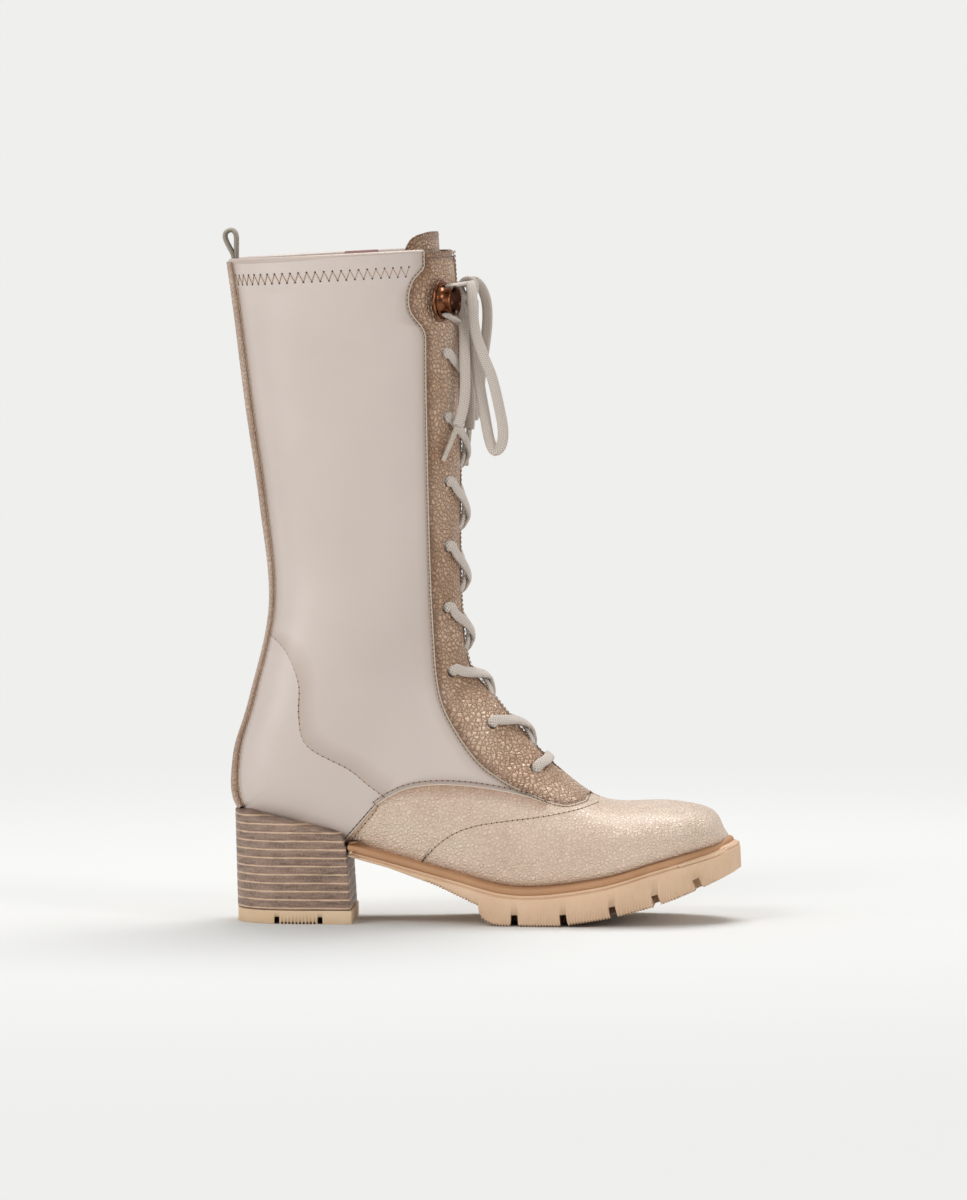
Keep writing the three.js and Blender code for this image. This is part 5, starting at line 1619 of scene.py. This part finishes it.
def hook_wrap(side, sign):
    """The lace's turn round a hook's neck, from the top crossing up and over to the knot."""
    at, out = HOOKS[side]
    centre = at + out * 5.0
    level = np.cross(out, [0, 0, 1.0])
    level /= np.linalg.norm(level)
    level *= 1 if level[1] * sign < 0 else -1  # points outwards, away from the knot
    up = np.cross(level, out) * (1 if np.cross(level, out)[2] > 0 else -1)
    turn = np.radians(np.linspace(-70, -255, 15))
    ring = [centre + (level * math.cos(a) + up * math.sin(a)) * 7.8 for a in turn]
    gap = float(facing_edge(COLLAR - 1.0))
    start = [on_skin(COLLAR - 1.4, gap * 0.3 * sign, FACING_OUT + 1.6),
             on_skin(COLLAR - 1.1, gap * sign, FACING_OUT + 1.7)]
    finish = [KNOT + [-0.5, -7.0 * sign, 2.4], KNOT + [0, -2.5 * sign, 1.6]]
    points = spline(np.array(start + ring + finish), 220)
    tangent = np.gradient(points, axis=0)
    ups = np.cross(tangent, np.tile(out, (len(points), 1)))
    ups *= np.sign(np.sum(ups * (points - centre), axis=1, keepdims=True) + 1e-9)
    ribbon(f"lace_wrap_{side}", points, ups, width=5.0, thick=2.0)


knot()
for side, sign in SIDES:
    hook_wrap(side, sign)
AGLET = pebble_leather("aglet_film", "ddd5c8", "cfc5b6", "b7ab9a", 0.0)
lateral_tip = dress("aglet_lateral", AGLET, rounded=0.3)
medial_tip = dress("aglet_medial", AGLET, rounded=0.3)
outwards, inwards = (0.3, -1, 0), (0.3, 1, 0)  # ways that the flat side of an end faces
free_lace("bow_loop_outer", "bow_loop_lateral", LATERAL_LOOP, ((0.3, -1, 0.2), (0.2, -1, 0)))
free_lace("bow_loop_inner", "bow_loop_medial", MEDIAL_LOOP, ((0.3, 1, 0.2), (0.2, 1, 0)))
free_lace("lace_tail_outer", "lace_end_lateral", LATERAL_END, (outwards, outwards))
free_lace("lace_tail_inner", "lace_end_medial", MEDIAL_END, (inwards, inwards))


# ---------------------------------------------------------------- studio
AMBIENT = 0.52
LIGHTS = (
    ("key", (-1.5, -2.0, 2.3), 24, 1.1),
    ("side", (-2.4, -1.3, 0.45), 20, 1.2),
    ("fill", (2.9, -2.6, 1.6), 32, 1.0),
    ("top", (0.25, 1.0, 2.6), 56, 1.5),
)


def studio():
    """A pale floor that runs on into an even pale background, and large soft lights."""
    pale = (0.863, 0.863, 0.853, 1.0)
    black = (0.0, 0.0, 0.0, 1.0)
    mesh = bpy.data.meshes.new("floor")
    mesh.from_pydata([(-30, -30, 0), (30, -30, 0), (30, 30, 0), (-30, 30, 0)], [], [(0, 1, 2, 3)])
    floor = link_object("floor", mesh)
    n = Nodes("floor")
    away = n.add("ShaderNodeVectorMath", operation="LENGTH")
    n.wire(n.place, away.inputs[0])
    share = n.add("ShaderNodeMapRange", interpolation_type="SMOOTHSTEP")
    share.inputs["From Min"].default_value = 0.25
    share.inputs["From Max"].default_value = 1.3
    n.wire(away.outputs["Value"], share.inputs["Value"])
    base = n.blend(share.outputs["Result"], colour("d8d8d6"), black)
    glow = n.blend(share.outputs["Result"], black, pale)
    n.wire(glow, n.shader.inputs["Emission Color"])
    n.shader.inputs["Emission Strength"].default_value = 1.0
    mesh.materials.append(n.finish(base, 0.9, n.bump(n.noise(40), 0.0001, 0.1), Specular_IOR_Level=0.0))
    dome = bmesh.new()
    bmesh.ops.create_icosphere(dome, subdivisions=4, radius=20)
    shell = bpy.data.meshes.new("backdrop")
    dome.to_mesh(shell)
    dome.free()
    backdrop = link_object("backdrop", shell)
    m = Nodes("backdrop")
    m.shader.inputs["Emission Color"].default_value = pale
    m.shader.inputs["Emission Strength"].default_value = 1.0
    shell.materials.append(m.finish(black, 1.0, m.bump(m.noise(1), 0.0001, 0.0), Specular_IOR_Level=0.0))
    backdrop.visible_diffuse = False
    backdrop.visible_glossy = False
    backdrop.visible_transmission = False
    backdrop.visible_shadow = False
    world = bpy.data.worlds.new("studio")
    world.use_nodes = True
    background = world.node_tree.nodes["Background"]
    background.inputs["Color"].default_value = (1.0, 1.0, 1.0, 1)
    background.inputs["Strength"].default_value = AMBIENT
    bpy.context.scene.world = world
    for name, place, power, size in LIGHTS:
        light = bpy.data.lights.new(name, "AREA")
        light.energy = power
        light.size = size
        lamp = link_object(name, light)
        lamp.location = place
        lamp.visible_camera = False
        lamp.rotation_euler = (Vector(place) - Vector((0, 0, 0.17))).to_track_quat("Z", "Y").to_euler()
    bpy.context.scene.view_settings.view_transform = "Standard"


studio()
